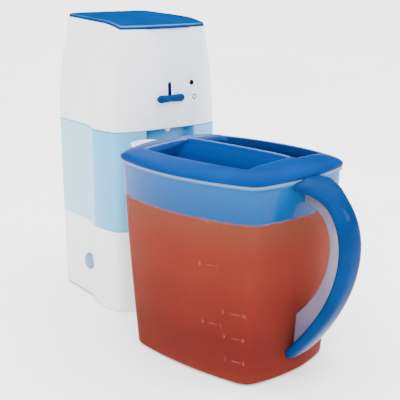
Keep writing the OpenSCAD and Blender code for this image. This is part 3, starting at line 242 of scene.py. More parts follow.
def carve(obj, shape, where, angle=34):
    """Cuts a closed shape out of a piece, and shades the piece again."""
    tool = shape.to_object("cutter", where)
    modify(obj, "BOOLEAN", object=tool, operation="DIFFERENCE", solver="EXACT")
    bpy.data.objects.remove(tool)
    soften(obj, angle)


def prism(outline_uv, w0, w1, order=(0, 1, 2)):
    """An outline drawn out from w0 to w1. The order says which of u, v, w runs along x, y and z."""
    return Shape([[[(u, v, w)[k] for k in order] for u, v in outline_uv] for w in (w0, w1)])


def block(x0, y0, z0, x1, y1, z1):
    return prism([(x0, y0), (x1, y0), (x1, y1), (x0, y1)], z0, z1)


def paint(obj, material, test):
    """A second material on the faces that pass a test of their place in the tower, in mm."""
    obj.data.materials.append(material)
    for face in obj.data.polygons:
        x, y, z = (v / MM for v in face.center)
        if test(x - TOWER_AT[0], y - TOWER_AT[1], z, face.normal):
            face.material_index = 1


# ---- materials
def linear(colour):
    """A colour of 0 to 255 in each channel, as the shader takes it."""
    share = [c / 255 for c in colour]
    return (*(c / 12.92 if c <= 0.04045 else ((c + 0.055) / 1.055) ** 2.4 for c in share), 1)


def add_node(nt, kind, **inputs):
    node = nt.nodes.new("ShaderNode" + kind)
    for name, value in inputs.items():
        node.inputs[name.replace("_", " ")].default_value = value
    return node


def add_ramp(nt, stops, interpolation="LINEAR"):
    """A colour ramp through (position, linear colour) stops."""
    node = nt.nodes.new("ShaderNodeValToRGB")
    ramp = node.color_ramp
    ramp.interpolation = interpolation
    while len(ramp.elements) < len(stops):
        ramp.elements.new(0.5)
    for element, (position, colour) in zip(ramp.elements, stops):
        element.position = position
        element.color = colour
    return node


def wire(nt, *links):
    """Links, each given as the node and the socket that it leaves and those that it reaches."""
    for a, out, b, into in links:
        nt.links.new(a.outputs[out], b.inputs[into])


def plastic(name, low, high, rough, scale, bump, grain, metal=0.0, alpha=1.0, spec=0.5):
    """Moulded plastic or metal: two near colours in a soft mottle, uneven gloss and a fine grain."""
    mat = bpy.data.materials.new(name)
    mat.use_nodes = True
    nt = mat.node_tree
    shader = nt.nodes["Principled BSDF"]
    where = add_node(nt, "TexCoord")
    blotch = add_node(nt, "TexNoise", Scale=scale, Detail=3)
    mottle = add_ramp(nt, ((0.35, linear(low)), (0.65, linear(high))))
    gloss = add_node(nt, "MapRange", To_Min=rough[0], To_Max=rough[1])
    fine = add_node(nt, "TexNoise", Scale=grain, Detail=2)
    bumps = add_node(nt, "Bump", Strength=bump, Distance=0.0004)
    where.name, mottle.name = "where", "mottle"
    wire(nt, (where, "Object", blotch, "Vector"), (where, "Object", fine, "Vector"),
         (blotch, "Fac", mottle, "Fac"), (mottle, "Color", shader, "Base Color"),
         (blotch, "Fac", gloss, "Value"), (gloss, "Result", shader, "Roughness"),
         (fine, "Fac", bumps, "Height"), (bumps, "Normal", shader, "Normal"))
    for socket, value in (("Metallic", metal), ("IOR", 1.49), ("Specular IOR Level", spec), ("Alpha", alpha)):
        shader.inputs[socket].default_value = value
    return mat


def graded(mat, stops, low, high, axis="Z", fade=None, edge_alpha=0.0):
    """Colours a material along an axis from low to high (mm), under its mottle. A fade gives its
    alpha along the same way, and edge_alpha adds to it where the surface turns away."""
    nt = mat.node_tree
    shader, where, mottle = (nt.nodes[name] for name in ("Principled BSDF", "where", "mottle"))
    split = add_node(nt, "SeparateXYZ")
    span = add_node(nt, "MapRange", From_Min=low * MM, From_Max=high * MM)
    ramp = add_ramp(nt, [(position, linear(colour)) for position, colour in stops], "EASE")
    mix = nt.nodes.new("ShaderNodeMix")
    mix.data_type = "RGBA"
    mix.blend_type = "MULTIPLY"
    mix.inputs["Factor"].default_value = 0.5
    wire(nt, (where, "Object", split, "Vector"), (split, axis, span, "Value"), (span, "Result", ramp, "Fac"),
         (ramp, "Color", mix, "A"), (mottle, "Color", mix, "B"), (mix, "Result", shader, "Base Color"))
    if not fade:
        return
    along = add_ramp(nt, [(position, (alpha, alpha, alpha, 1)) for position, alpha in fade])
    rim = add_node(nt, "LayerWeight", Blend=0.3)
    sharp = add_node(nt, "Math")
    sharp.operation = "POWER"
    sharp.inputs[1].default_value = 3
    both = add_node(nt, "Math")
    both.operation = "MULTIPLY_ADD"
    both.use_clamp = True
    both.inputs[1].default_value = edge_alpha
    wire(nt, (span, "Result", along, "Fac"), (rim, "Facing", sharp, 0), (sharp, "Value", both, 0),
         (along, "Color", both, 2), (both, "Value", shader, "Alpha"))


# name, darker and lighter colour, roughness, mottle scale, bump, grain scale
WHITE = plastic("white_plastic", (222, 223, 226), (230, 231, 234), (0.3, 0.42), 25, 0.03, 1400, spec=0.3)
SHELL_WHITE = plastic("white_shell", (248, 248, 248), (255, 255, 255), (0.26, 0.36), 25, 0.02, 1400, spec=0.3)
BLUE = plastic("blue_plastic", (0, 40, 86), (0, 46, 96), (0.1, 0.15), 30, 0.008, 1200, spec=0.018)
BLUE_TOP = plastic("blue_plastic_top", (0, 46, 98), (0, 52, 106), (0.3, 0.38), 30, 0.01, 1200, spec=0.0)
BLUE_LID = plastic("blue_plastic_lid", (0, 44, 100), (0, 50, 110), (0.14, 0.2), 30, 0.01, 1200, spec=0.008)
WELL_SHADE = plastic("blue_plastic_well_shade", (236, 236, 236), (255, 255, 255), (0.3, 0.4), 30, 0.01, 1200, spec=0.0)
# a lighter blue for rims and edges, a painted highlight
RIM_HIGHLIGHT = plastic("blue_plastic_rim_highlight", (16, 62, 128), (24, 70, 136), (0.16, 0.24), 30, 0.01, 1200)
KNOB = plastic("blue_knob", (0, 44, 94), (0, 50, 104), (0.12, 0.18), 60, 0.01, 1200, spec=0.02)
# a navy for the slot and the shield behind it, a painted shade
SHADE_NAVY = plastic("blue_plastic_painted_shade", (10, 18, 76), (14, 26, 90), (0.35, 0.45), 60, 0.02, 1200, spec=0.03)
RESERVOIR = plastic("pale_blue_reservoir", (244,) * 3, (255,) * 3, (0.2, 0.3), 12, 0.02, 1200, spec=0.3)
CHANNEL_SHADE_BLUE = plastic("pale_blue_channel_shade", (40, 128, 188), (48, 136, 194), (0.25, 0.35), 12, 0.02, 1200,
                       spec=0.2)
CLEAR = plastic("clear_pitcher", (250, 250, 250), (255, 255, 255), (0.12, 0.2), 30, 0.0, 300, spec=0.12)
RIB = plastic("clear_rib", (98, 90, 112), (110, 102, 124), (0.18, 0.26), 30, 0.01, 900, alpha=0.82, spec=0.2)
# the clear spout is coloured near white and nearly opaque, a painted highlight
SPOUT = plastic("clear_spout", (232, 234, 236), (244, 245, 246), (0.14, 0.22), 30, 0.01, 900, alpha=0.85)
TEA = plastic("tea", (236, 236, 236), (255, 255, 255), (0.4, 0.5), 18, 0.0, 400, spec=0.0)
BUTTON = plastic("grey_blue_button", (92, 116, 146), (104, 128, 158), (0.28, 0.38), 60, 0.02, 1400, spec=0.3)
MARKS = plastic("raised_marks", (150, 84, 72), (166, 100, 86), (0.3, 0.4), 200, 0.02, 1400,
                alpha=0.3, spec=0.06)
BLACK = plastic("black_print", (4, 4, 6), (12, 12, 15), (0.5, 0.6), 300, 0.02, 1400, spec=0.05)
RUBBER = plastic("rubber", (66, 68, 72), (84, 86, 90), (0.6, 0.8), 120, 0.08, 2200)
DARK = plastic("dark_plastic", (34, 34, 36), (46, 46, 50), (0.4, 0.55), 90, 0.05, 1800)
STEEL = plastic("steel", (176, 178, 184), (196, 198, 202), (0.22, 0.4), 160, 0.04, 2600, metal=1.0)
CAST = plastic("cast_aluminium", (150, 152, 156), (186, 188, 192), (0.38, 0.6), 220, 0.12, 2600, metal=1.0)
SILICONE = plastic("silicone", (222, 216, 202), (234, 228, 216), (0.45, 0.6), 90, 0.03, 1600)
INNER_WHITE = plastic("white_inner_plastic", (222, 222, 224), (234, 234, 236), (0.35, 0.5), 60, 0.04, 1400)
MESH_GREY = plastic("filter_plastic", (150, 166, 188), (166, 182, 202), (0.35, 0.5), 90, 0.05, 1800)
FUSE = plastic("fuse_sleeve", (196, 186, 160), (214, 204, 180), (0.45, 0.6), 200, 0.04, 1800)
FLOOR = plastic("pale_floor", (250, 250, 250), (255, 255, 255), (0.7, 0.8), 2, 0.0, 50)

# painted light and shade in the tea's colour by height: a little lighter right at its foot, darkest a little
# over it, and paler near its surface
graded(TEA, [
    (0.0, (106, 41, 34)), (0.08, (94, 34, 29)), (0.2, (88, 31, 27)), (0.42, (97, 34, 28)),
    (0.72, (105, 41, 32)), (1.0, (105, 53, 40))], 2, 146)
# the wall is clear over the tea but shows at its edges in a pale tea colour, which stands for the thinner tea
# there and is a painted highlight, darker towards the foot as painted shade; above the tea it takes a painted
# reflection of the lid's blue, and its flange a pale painted highlight
graded(CLEAR, [
    (0.0, (132, 84, 72)), (0.14, (200, 142, 122)), (0.80, (202, 150, 130)), (0.822, (5, 64, 120)),
    (0.983, (14, 76, 132)), (0.992, (100, 118, 152))], 0, 177,
    fade=[(0.0, 0.0), (0.81, 0.0), (0.824, 0.9), (1.0, 0.95)], edge_alpha=0.7)
# painted shade: the lid's wells darken towards their floors
graded(WELL_SHADE, [
    (0.0, (0, 28, 78)), (0.3, (0, 34, 86)), (0.6, (0, 44, 102)), (0.85, (0, 48, 108)),
    (1.0, (0, 50, 110))], 169, 187)
# painted shade on the reservoir: a deeper blue at its front, paling towards the back
graded(RESERVOIR, [
    (0.0, (86, 164, 206)), (0.27, (86, 164, 206)), (0.31, (132, 188, 214)), (0.6, (140, 194, 218)),
    (1.0, (150, 200, 222))], 70, 192, "Y")
# painted shade on the brew housing from left to right: its front panel darker and bluish between a lighter
# left side and right end
graded(SHELL_WHITE, [
    (0.0, (229, 230, 233)), (0.3, (228, 229, 233)), (0.55, (206, 212, 224)), (0.8, (202, 210, 223)),
    (1.0, (226, 228, 233))], -46, 74, "X")

# finishes of the solids that are shown as they are. The others are white, or a piece replaces them
FINISH = {}
for finish, nodes in (
        (RUBBER, "rubber_feet reservoir_gasket valve_seat"), (MESH_GREY, "filter_screen"),
        (STEEL, "base_screws heater_element heater_bracket hose_clamps hinge_pin"), (FUSE, "thermal_fuse"),
        (CAST, "heater_tube"), (DARK, "thermostat power_switch cord_bushing"),
        (SILICONE, "inlet_valve inlet_hose outlet_hose")):
    FINISH.update(dict.fromkeys(nodes.split(), finish))
for node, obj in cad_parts.items():
    finish = FINISH.get(node, INNER_WHITE)
    if obj.material_slots:
        for slot in obj.material_slots:
            slot.material = finish
    else:
        obj.data.materials.append(finish)


# ---- the tower's form
def above(z):
    """How far z is up the brew housing, from its seam to the back of its rim."""
    return clamp((z - SEAM) / (RIM_BACK - SEAM))


def half_w(z):
    return TOWER_W / 2 - (1.4 * (1 - z / SEAM) if z < SEAM else 10.5 * above(z) ** 1.8)


def front_y(z):
    return -TOWER_D / 2 + 2 * above(z)


def back_y(z):
    return TOWER_D / 2 - 8 * above(z) ** 1.8


def bow(z):
    return FRONT_BOW * (1 - 0.25 * above(z))


def swell_by(s):
    """The share of the side's swell at a distance s behind the front corner."""
    if s < CREST:
        return 1 - ((CREST - s) / CREST) ** 2
    return (1 + math.cos(math.pi * (s - CREST) / (SWELL_END - CREST))) / 2 if s < SWELL_END else 0.0


def brew_panel(z):
    """The depth of the brew housing's front panel, where the channel fades out upwards."""
    return 1.6 * clamp(1 - (z - SEAM) / 75)


BUTTON_X = -(half_w(BUTTON_Z) + SWELL * swell_by(BUTTON_Y + TOWER_D / 2))


def half_outline(z, t, channel):
    """The right half of the tower's outline at height z, moved in by t."""
    hw = half_w(z) - t
    yf, yb = front_y(z) + t, back_y(z) - t
    b = bow(z)
    yc = yf - b + channel
    rb = max(REAR_R - t, 2)

    def front(x):
        return yf - b * (1 - (abs(x) / hw) ** 4)

    def side(s):
        return hw + SWELL * (1 - 0.95 * above(z)) * swell_by(s)

    flank = CHANNEL_W / 2 + t
    inner, x0, x1 = flank - BLEND, flank + BLEND, hw - FRONT_R
    pts = [(x, yc - 0.3 * (1 - (x / inner) ** 2)) for x in steps(0, inner, 7)[:-1]]
    for i in range(13):
        x = flank + BLEND * (i / 6 - 1)
        pts.append((x, lerp(yc, front(x), smooth(i / 12))))
    pts += [(x, front(x)) for x in steps(x0, x1, 14)[1:]]
    pts += round_over((x1, front(x1)), (hw, yf), (side(FRONT_R), yf + FRONT_R), steps(0, 1, 7)[1:-1])
    pts += [(side(s), yf + s) for s in steps(FRONT_R, SWELL_END, 30)]
    pts += [(hw, y) for y in steps(yf + SWELL_END, yb - rb, 8)[1:-1]]
    pts += arc(hw - rb, yb - rb, rb, 0, math.pi / 2, 11)
    pts += [(x, yb + 0.4 * (1 - (x / (hw - rb)) ** 2)) for x in steps(hw - rb, 0, 6)[1:]]
    return np.array(pts)


def outline(z, t, channel):
    right = half_outline(z, t, channel)
    return np.vstack([right, right[1:-1][::-1] * (-1, 1)])


class Wall:
    """A wall of the tower at an inset, looked up by height at each point of its outline."""

    def __init__(self, t, z0, z1, channel=lambda z: CHANNEL_D):
        self.z0, self.z1 = z0, z1
        heights = np.linspace(z0, z1, max(3, int((z1 - z0) / 1.5)))
        self.grid = np.stack([outline(z, t, channel(z)) for z in heights])

    def at(self, z):
        rows, n = self.grid.shape[:2]
        z = np.broadcast_to(np.asarray(z, float), (n,))
        k = np.clip((z - self.z0) / (self.z1 - self.z0) * (rows - 1), 0, rows - 1.0001)
        i = k.astype(int)
        f = (k - i)[:, None]
        each = np.arange(n)
        return np.column_stack([self.grid[i, each] * (1 - f) + self.grid[i + 1, each] * f, z])

    def along_rim(self, lift=0.0):
        """The ring where the wall meets the rising rim."""
        z = RIM_BACK
        for _ in range(6):
            z = rim_z(self.at(z)[:, 1]) + lift
        return self.at(z)


def rings_of(walls, *places):
    """One ring for each (inset, height)."""
    return [walls[t].at(z) for t, z in places]


def rim_z(y):
    """The brew housing's rim, low at the front and high at the back."""
    s = np.clip((y - front_y(RIM_BACK)) / TOWER_D, 0, 1)
    rise = 1 - (1 - np.clip(s / 0.28, 0, 1)) ** 2
    return RIM_FRONT + (RIM_BACK - RIM_FRONT) * (0.45 * rise + 0.55 * s / 0.93)


def hinge_slab(s, profile, places):
    """A side profile lofted across the hinge, drawn towards the pin by a share at each x."""
    s.loft([[(x, lerp(HINGE_Y, y, k), lerp(HINGE_Z, z, k)) for y, z in profile] for x, k in places])


def base_housing():
    """Outer wall with a lifted foot at the back, rounded top edge, and inner wall down to the deck."""
    w = {t: Wall(t, 0, BASE_H) for t in (0, 0.3, 0.9, 1.0, WALL)}
    lift = FOOT_LIFT * smooth((w[0].at(40)[:, 1] + TOWER_D / 2 - LIFT_FROM) / 2.0)
    s = Shape(rings_of(
        w, (WALL, DECK - WALL), (WALL, 40), (WALL, lift + 0.3), (1.0, lift), (0.3, lift + 0.5),
        (0, lift + 1.2), *((0, z) for z in steps(4, BASE_H - 0.9, 14)), (0.3, BASE_H - 0.3),
        (0.9, BASE_H), (WALL, BASE_H), (WALL, DECK)))
    obj = s.make("base_shell", "tower", WHITE, 30, node="base_housing")
    recess = circle(BUTTON_Z, BUTTON_Y, BUTTON_D / 2 + 0.35, 56)
    carve(obj, prism(recess, BUTTON_X - 4, BUTTON_X + 8, (2, 1, 0)), "tower", 30)


def reservoir():
    foot, tongue = WALL + 0.2, WALL + 0.35
    inner = tongue + RES_WALL
    insets = (0, 0.4, foot, tongue, RES_WALL, foot + RES_WALL, inner)
    w = {t: Wall(t, DECK, SEAM + 8.5) for t in insets}
    top, low = SEAM - 0.35, DECK + 0.2
    s = Shape(rings_of(
        w, (foot, low), (foot, BASE_H + 0.2), (0.4, BASE_H + 0.45), (0, BASE_H + 0.9),
        *((0, z) for z in steps(BASE_H + 3, top - 3, 12)), (0, top - 0.8), (0.4, top - 0.2),
        (tongue, top), (tongue, SEAM + 8), (inner, SEAM + 8), (inner, SEAM - 2),
        (RES_WALL, SEAM - 6), *((RES_WALL, z) for z in steps(SEAM - 10, BASE_H + 6, 8)),
        (foot + RES_WALL, BASE_H + 3), (foot + RES_WALL, low + RES_WALL)))
    # the riser's sleeve and the outlet's spigot, both moulded in
    for x, z0, z1, r in ((PIPE_X, DECK - WALL, SEAM + 2, 6.5), (-PIPE_X, 66, DECK + 1.2, 4.8)):
        bore, skin = circle(x, PIPE_Y, r - PIPE_WALL), circle(x, PIPE_Y, r)
        s.loft([[(*p, z) for p in ring] for ring, z in
                ((bore, z1), (bore, z0), (skin, z0), (skin, z1), (bore, z1))], False, False)
    obj = s.make("reservoir_shell", "tower", RESERVOIR, 30, node="reservoir")
    # the channel's faces take a deeper blue: painted shade in the recess, with the deeper tint of seeing
    # through more of the plastic
    paint(obj, CHANNEL_SHADE_BLUE, lambda x, y, z, normal:
          abs(x) < CHANNEL_W / 2 + 1.2 and y < -TOWER_D / 2 + CHANNEL_D + 2)


def brew_housing():
    w = {t: Wall(t, SEAM - 1, TOP + 3, brew_panel) for t in (0, 0.25, 0.8, WALL - 0.5, WALL)}
    rim = w[0].along_rim()[:, 2]
    s = Shape(rings_of(
        w, (WALL, BREW_FLOOR), (WALL, SEAM), (0.8, SEAM), (0.25, SEAM + 0.25), (0, SEAM + 0.8),
        *((0, lerp(SEAM, rim, f)) for f in steps(0.03, 0.985, 34)),
        (0.25, rim - 0.25), (0.8, rim), (WALL - 0.5, rim), (WALL, rim - 0.5),
        *((WALL, lerp(BREW_DECK, rim, f)) for f in steps(0.96, 0.0, 12))))
    # the ears that hold the hinge pin
    back = HINGE_Y - KNUCKLE_R - 3
    ear = [(back, HINGE_Z - 13)]
    ear += arc(HINGE_Y, HINGE_Z, KNUCKLE_R, math.radians(-50), math.radians(200), 20)
    ear += [(back, HINGE_Z + 1)]
    for x0 in (-ARM_HALF - EAR_GAP - EAR_W, ARM_HALF + EAR_GAP):
        hinge_slab(s, ear, ((x0, 0.9), (x0 + 0.4, 1), (x0 + EAR_W - 0.4, 1), (x0 + EAR_W, 0.9)))
    obj = s.make("brew_shell", "brew_unit", SHELL_WHITE, 30, node="brew_housing")
    slot_top = LEVER_Z + LEVER_TRAVEL
    slot = arc(0, LEVER_Z, SLOT_R, math.pi, TAU, 17) + arc(0, slot_top, SLOT_R, 0, math.pi, 17)
    front = -TOWER_D / 2
    carve(obj, prism(slot, front - 19, front + 11, (0, 2, 1)), "tower", 30)
    # the slot's own walls are painted navy, a painted shade
    paint(obj, SHADE_NAVY, lambda x, y, z, normal: y < -50 and abs(normal.y) < 0.3
          and math.hypot(x, max(0, LEVER_Z - z, z - slot_top)) < SLOT_R + 0.02)
    for x, y, r in ((PIPE_X, PIPE_Y, RISER_HOLE), (0, NOZZLE_Y, NOZZLE_HOLE)):
        carve(obj, prism(circle(x, y, r), BREW_FLOOR - 1, BREW_DECK + 1), "tower", 30)


def tower_lid():
    mid_y = (front_y(RIM_BACK) + back_y(RIM_BACK)) / 2
    edge = Wall(0.5, RIM_FRONT - 2, RIM_BACK + 2, lambda z: 0.1).along_rim(0.35)
    n = len(edge)

    def shrunk(share, z):
        return np.column_stack([edge[:, 0] * share, lerp(mid_y, edge[:, 1], share), z])

    def crown(share, drop=0.0):
        return shrunk(share, lerp(TOP, edge[:, 2] + 2.6, share ** 2.2) - drop)

    lip = 1 - 3 / (TOWER_W / 2)
    rings = [crown(f, 2.2) for f in (0.12, 0.3, 0.5, 0.7, 0.85, lip - 0.02)]
    rings += [shrunk(f, edge[:, 2] + h) for f, h in
              ((lip, 0.0), (0.996, 0.0), (1.0, 0.35), (1.0, 1.3), (0.9965, 1.9))]
    rings += [crown(0.988, 0.12)]
    rings += [crown(f) for f in (0.975, 0.95, 0.9, 0.84, 0.77, 0.7, 0.6, 0.5, 0.4, 0.3, 0.2, 0.1)]
    s = Shape(rings, caps=False)
    s.fan(0, n, (0, mid_y, TOP - 2.2), up=False)
    s.fan(n * (len(rings) - 1), n, (0, mid_y, TOP))
    # the finger tab under the front edge
    tab_y, tab_z = front_y(RIM_FRONT) - bow(RIM_FRONT) + 0.4, RIM_FRONT + 0.65
    tab = []
    for sx, sy, start in ((1, -1, -90), (1, 1, 0), (-1, 1, 90), (-1, -1, 180)):
        tab += arc(22.5 * sx, 0.5 * sy, 2.5, math.radians(start), math.radians(start + 90), 7)
    s.loft([[(x * k, tab_y + y * k, tab_z + h) for x, y in tab]
            for k, h in ((0.985, 0), (1, 0.3), (1, 1.3), (0.985, 1.7))])
    # the knuckle and its arm
    arm, seat = HINGE_Y - KNUCKLE_R - 5, RIM_BACK + 0.75
    knuckle = [(arm, seat), (HINGE_Y - KNUCKLE_R, seat)]
    knuckle += arc(HINGE_Y, HINGE_Z, KNUCKLE_R, math.pi, TAU, 16)
    knuckle += [(HINGE_Y + KNUCKLE_R, HINGE_Z + 1.5), (HINGE_Y + 0.6, RIM_BACK + 2.6), (arm, RIM_BACK + 2.8)]
    flat = ARM_HALF - 0.4
    hinge_slab(s, knuckle, ((-ARM_HALF, 0.93), (-flat, 1), (flat, 1), (ARM_HALF, 0.93)))
    obj = s.make("lid_shell", "lid", BLUE_TOP, 30, node="tower_lid")
    obj.data.materials.append(RIM_HIGHLIGHT)
    # the edge face and the bevel over it get a lighter blue, a painted highlight
    for i in range(10 * n, 12 * n):
        obj.data.polygons[i].material_index = 1


def strength_lever():
    """The wing knob, its stem, and the shield that closes the slot from behind."""
    back = front_y(LEVER_Z) - bow(LEVER_Z) + brew_panel(LEVER_Z) - 0.65
    half, end_r = KNOB_W / 2, KNOB_H / 2
    inner, n, around = half - end_r, 48, 36
    rings = []
    for i in range(1, n):
        x = -half * math.cos(math.pi * i / n)
        end = math.sqrt(max(0.0, 1 - (max(0.0, abs(x) - inner) / end_r) ** 2))
        wing = smooth(abs(x) / inner)
        h = end_r * end * (0.84 + 0.16 * wing)
        depth = (KNOB_T - 1.2 * (1 - wing)) * (0.62 + 0.38 * end)
        ring = []
        for cy, cz in circle(0, 0, 1, around):
            ring.append((x, back + (np.sign(cy) * abs(cy) ** 0.8 - 1) * depth / 2,
                         LEVER_Z + np.sign(cz) * abs(cz) ** 0.9 * h))
        rings.append(ring)
    s = Shape(rings)
    stem = circle(0, LEVER_Z, STEM_R, 32)
    s.loft([[(x, y, z) for x, z in stem] for y in (back - KNOB_T / 2, -51.35)])
    s.make("lever_knob", "lever", KNOB, 60, node="strength_lever")
    front = -TOWER_D / 2 - FRONT_BOW + WALL + 3.4
    shield = block(-6, front, LEVER_Z - 13, 6, front + 1.5, LEVER_Z + 17.5)
    # the blue shield takes the navy of its shade behind the slot, a painted shade
    modify(shield.make("lever_shield", "lever", SHADE_NAVY, 30), "BEVEL", width=0.0003, segments=2)


def brew_button():
    """The domed cap, its skirt inside the wall and its stem, as radii and depths."""
    r, face = BUTTON_D / 2, -BUTTON_OUT
    profile = ((2.5, face - 0.57), (5.5, face - 0.36), (r - 1.4, face - 0.02), (r - 0.6, face + 0.3),
               (r - 0.15, face + 0.8), (r, face + 1.4), (r, 5.0), (2.5, 5.0), (2.5, 14.0))
    n = 64
    s = Shape()
    s.loft([[(BUTTON_X + d, y, z) for y, z in circle(BUTTON_Y, BUTTON_Z, q, n)] for q, d in profile],
           cap_low=False)
    s.fan(0, n, (BUTTON_X + face - 0.6, BUTTON_Y, BUTTON_Z), up=False)
    s.make("button_cap", "button", BUTTON, 40, node="brew_button")


def button_spring():
    """The button's return spring, as a fixed coil that doesn't shorten with the button."""
    turns, wire_r, r, start, length, n = 5, 0.4, 4.4, -52.59, 10.39, 28
    rings = []
    for i in range(turns * n + 1):
        a = TAU * i / n
        x = start + length * i / (turns * n)
        rings.append([(x - v, BUTTON_Y + (r + u) * math.sin(a), BUTTON_Z - (r + u) * math.cos(a))
                      for u, v in circle(0, 0, wire_r, 12)])
    obj = Shape(rings).make("spring_coil", "tower", STEEL, 60, node="button_spring")
    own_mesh(obj)


# ---- the pitcher's form
def bowed(half_l, half_side, bow_side, bow_handle, bow_spout):
    """A rectangle with bowed sides and rounded corners, from the handle's end anticlockwise."""
    corners = [(half_l, -half_side), (half_l, half_side), (-half_l, half_side), (-half_l, -half_side)]
    out = [(1, 0), (0, 1), (-1, 0), (0, -1)]
    bows = [bow_handle, bow_side, bow_spout, bow_side]

    def on(k, t):
        a, b = corners[k], corners[(k + 1) % 4]
        q = bows[k] * 4 * t * (1 - t)
        return lerp(a[0], b[0], t) + out[k][0] * q, lerp(a[1], b[1], t) + out[k][1] * q

    part = [min(0.4, CORNER / math.dist(corners[k], corners[(k + 1) % 4])) for k in range(4)]
    pts = []
    for k, count in enumerate((18, 44, 18, 44)):
        pts += [on(k, t) for t in steps(part[k], 1 - part[k], count)]
        j = (k + 1) % 4
        pts += round_over(on(k, 1 - part[k]), corners[j], on(j, part[j]), steps(0, 1, 8)[1:-1])
    return np.array(pts)


def body_size(z):
    """Half length, half width, side bow and end bow of the pitcher's outside at height z."""
    g = 1 - (1 - clamp(z / PITCHER_H)) ** 1.4
    return (lerp(FLOOR_L, HALF_L, g), lerp(FLOOR_W, HALF_W, g),
            lerp(FLOOR_SIDE, SIDE_BOW, g), lerp(FLOOR_END, END_BOW, g))


def pitcher_ring(z, t):
    """The pitcher's outline at height z, moved in by t."""
    half_l, half_side, side, end = body_size(z)
    return level(bowed(half_l - t, half_side - t, side, end, end), z)


def spout_ring(z, t, lift=0.0, inward=0.0):
    """The spout's open section at height z, moved in by t, with its ends inside the pitcher."""
    g = clamp((z - SPOUT_LOW) / SPOUT_DROP) ** 0.8
    reach, half = lerp(5, SPOUT_REACH + SPOUT_ROOT, g) - t, lerp(9, SPOUT_W, g) - t
    end = SPOUT_ROOT + 18 - inward
    pts = [(end, half)]
    for c, s in arc(0, 0, 1, math.pi / 2, 1.5 * math.pi, 33):
        pts.append((SPOUT_ROOT - reach * abs(c) ** 0.86, half * np.sign(s) * abs(s) ** 0.86))
    pts.append((end, -half))
    lid_l = HALF_L + LID_SPOUT
    return [(x, y, z + lift + g * SPOUT_RISE * (x + lid_l) / (lid_l - SPOUT_REACH)) for x, y in pts]


def bezier(points, t):
    """A point of the cubic curve through (length, height) points."""
    p = np.array(points)
    while len(p) > 1:
        p = lerp(p[:-1], p[1:], t)
    return p[0]


def handle_at(u):
    """The handle's spine, from its root at the rim (0) through its side (1) to its foot (2)."""
    if u < 1:
        return bezier([HANDLE_TOP, (HANDLE_REACH - 21, HANDLE_TOP[1]),
                       (HANDLE_REACH, HANDLE_Z + 30), HANDLE_SIDE], u)
    return bezier([HANDLE_SIDE, (HANDLE_REACH, HANDLE_Z - 36), (HANDLE_REACH - 23, 50), HANDLE_FOOT], u - 1)


def handle_out(u):
    d = handle_at(min(u + 0.01, 2)) - handle_at(max(u - 0.01, 0))
    return np.array([-d[1], d[0]]) / np.linalg.norm(d)


def handle_band(n, outward, extra=0.0):
    """The rib's side outline: along the spine, and back at the rib's depth inside it."""
    us = [2 * i / n for i in range(n + 1)]
    depth = [RIB_REACH + extra + 12 * clamp(u - 1) ** 3 for u in us]
    inner = [handle_at(u) - handle_out(u) * d for u, d in zip(us, depth)]
    return [handle_at(u) + handle_out(u) * outward for u in us] + inner[::-1]


def grip_half(u):
    if u < 0.55:
        return lerp(ROOT_W, GRIP_W, smooth(u / 0.55))
    return lerp(GRIP_W, FOOT_W, smooth((u - 1.4) / 0.6))


def grip_t(u):
    return lerp(ROOT_T, GRIP_T, u / 0.5) if u < 0.5 else lerp(GRIP_T, ROOT_T, smooth((u - 1.3) / 0.7))


def pitcher_body():
    """The clear wall with its rounded foot and its flange, and the spout through it."""
    fz, top = PITCHER_H - 3.4, PITCHER_H
    s = Shape([pitcher_ring(z, t) for z, t in (
        (0, 2.5), *FOOT_BEND, *((z, 0) for z in steps(8, 168, 18)),
        (fz - 1.4, 0), (fz - 0.5, 0.5 - FLANGE), (fz, -FLANGE), (top - 0.5, -FLANGE), (top, 0.5 - FLANGE),
        (top, P_WALL - 0.4), (top - 0.4, P_WALL), *((z, P_WALL) for z in steps(170, 8, 18)),
        (5, P_WALL), (3.2, P_WALL + 0.6), (P_WALL, P_WALL + 2))])
    obj = s.make("pitcher_shell", "pitcher", CLEAR, node="pitcher_body")
    mouth = Shape([spout_ring(z, P_WALL, lift=4 if z == top else 0) for z in steps(SPOUT_LOW + 3, top, 10)])
    carve(obj, mouth, "pitcher")
    low = [spout_ring(z, 0, inward=14) for z in steps(SPOUT_LOW, top, 16)]
    high = [spout_ring(z, P_WALL, inward=14) for z in steps(SPOUT_LOW + 3, top, 16)]
    spout = Shape(low + high[::-1]).make("pitcher_spout", "pitcher", SPOUT)
    core = Shape([pitcher_ring(z, 0.35) for z in (SPOUT_LOW - 5, SPOUT_LOW + 5, 150, 160, 170, top + 10)])
    carve(spout, core, "pitcher")


def handle_rib():
    band = handle_band(72, 0.0)
    edge = inset(band, -0.8)
    s = Shape([[(x, y, z) for x, z in outline_xz] for outline_xz, y in (
        (edge, -RIB_T), (band, 0.7 - RIB_T), (band, RIB_T - 0.7), (edge, RIB_T))])
    obj = s.make("pitcher_rib", "pitcher", RIB, 40)
    core = Shape([pitcher_ring(z, 0.2) for z in (
        -5, 1, 5, 20, 45, 75, 110, 145, 165, PITCHER_H, PITCHER_H + 10)])
    carve(obj, core, "pitcher", 40)


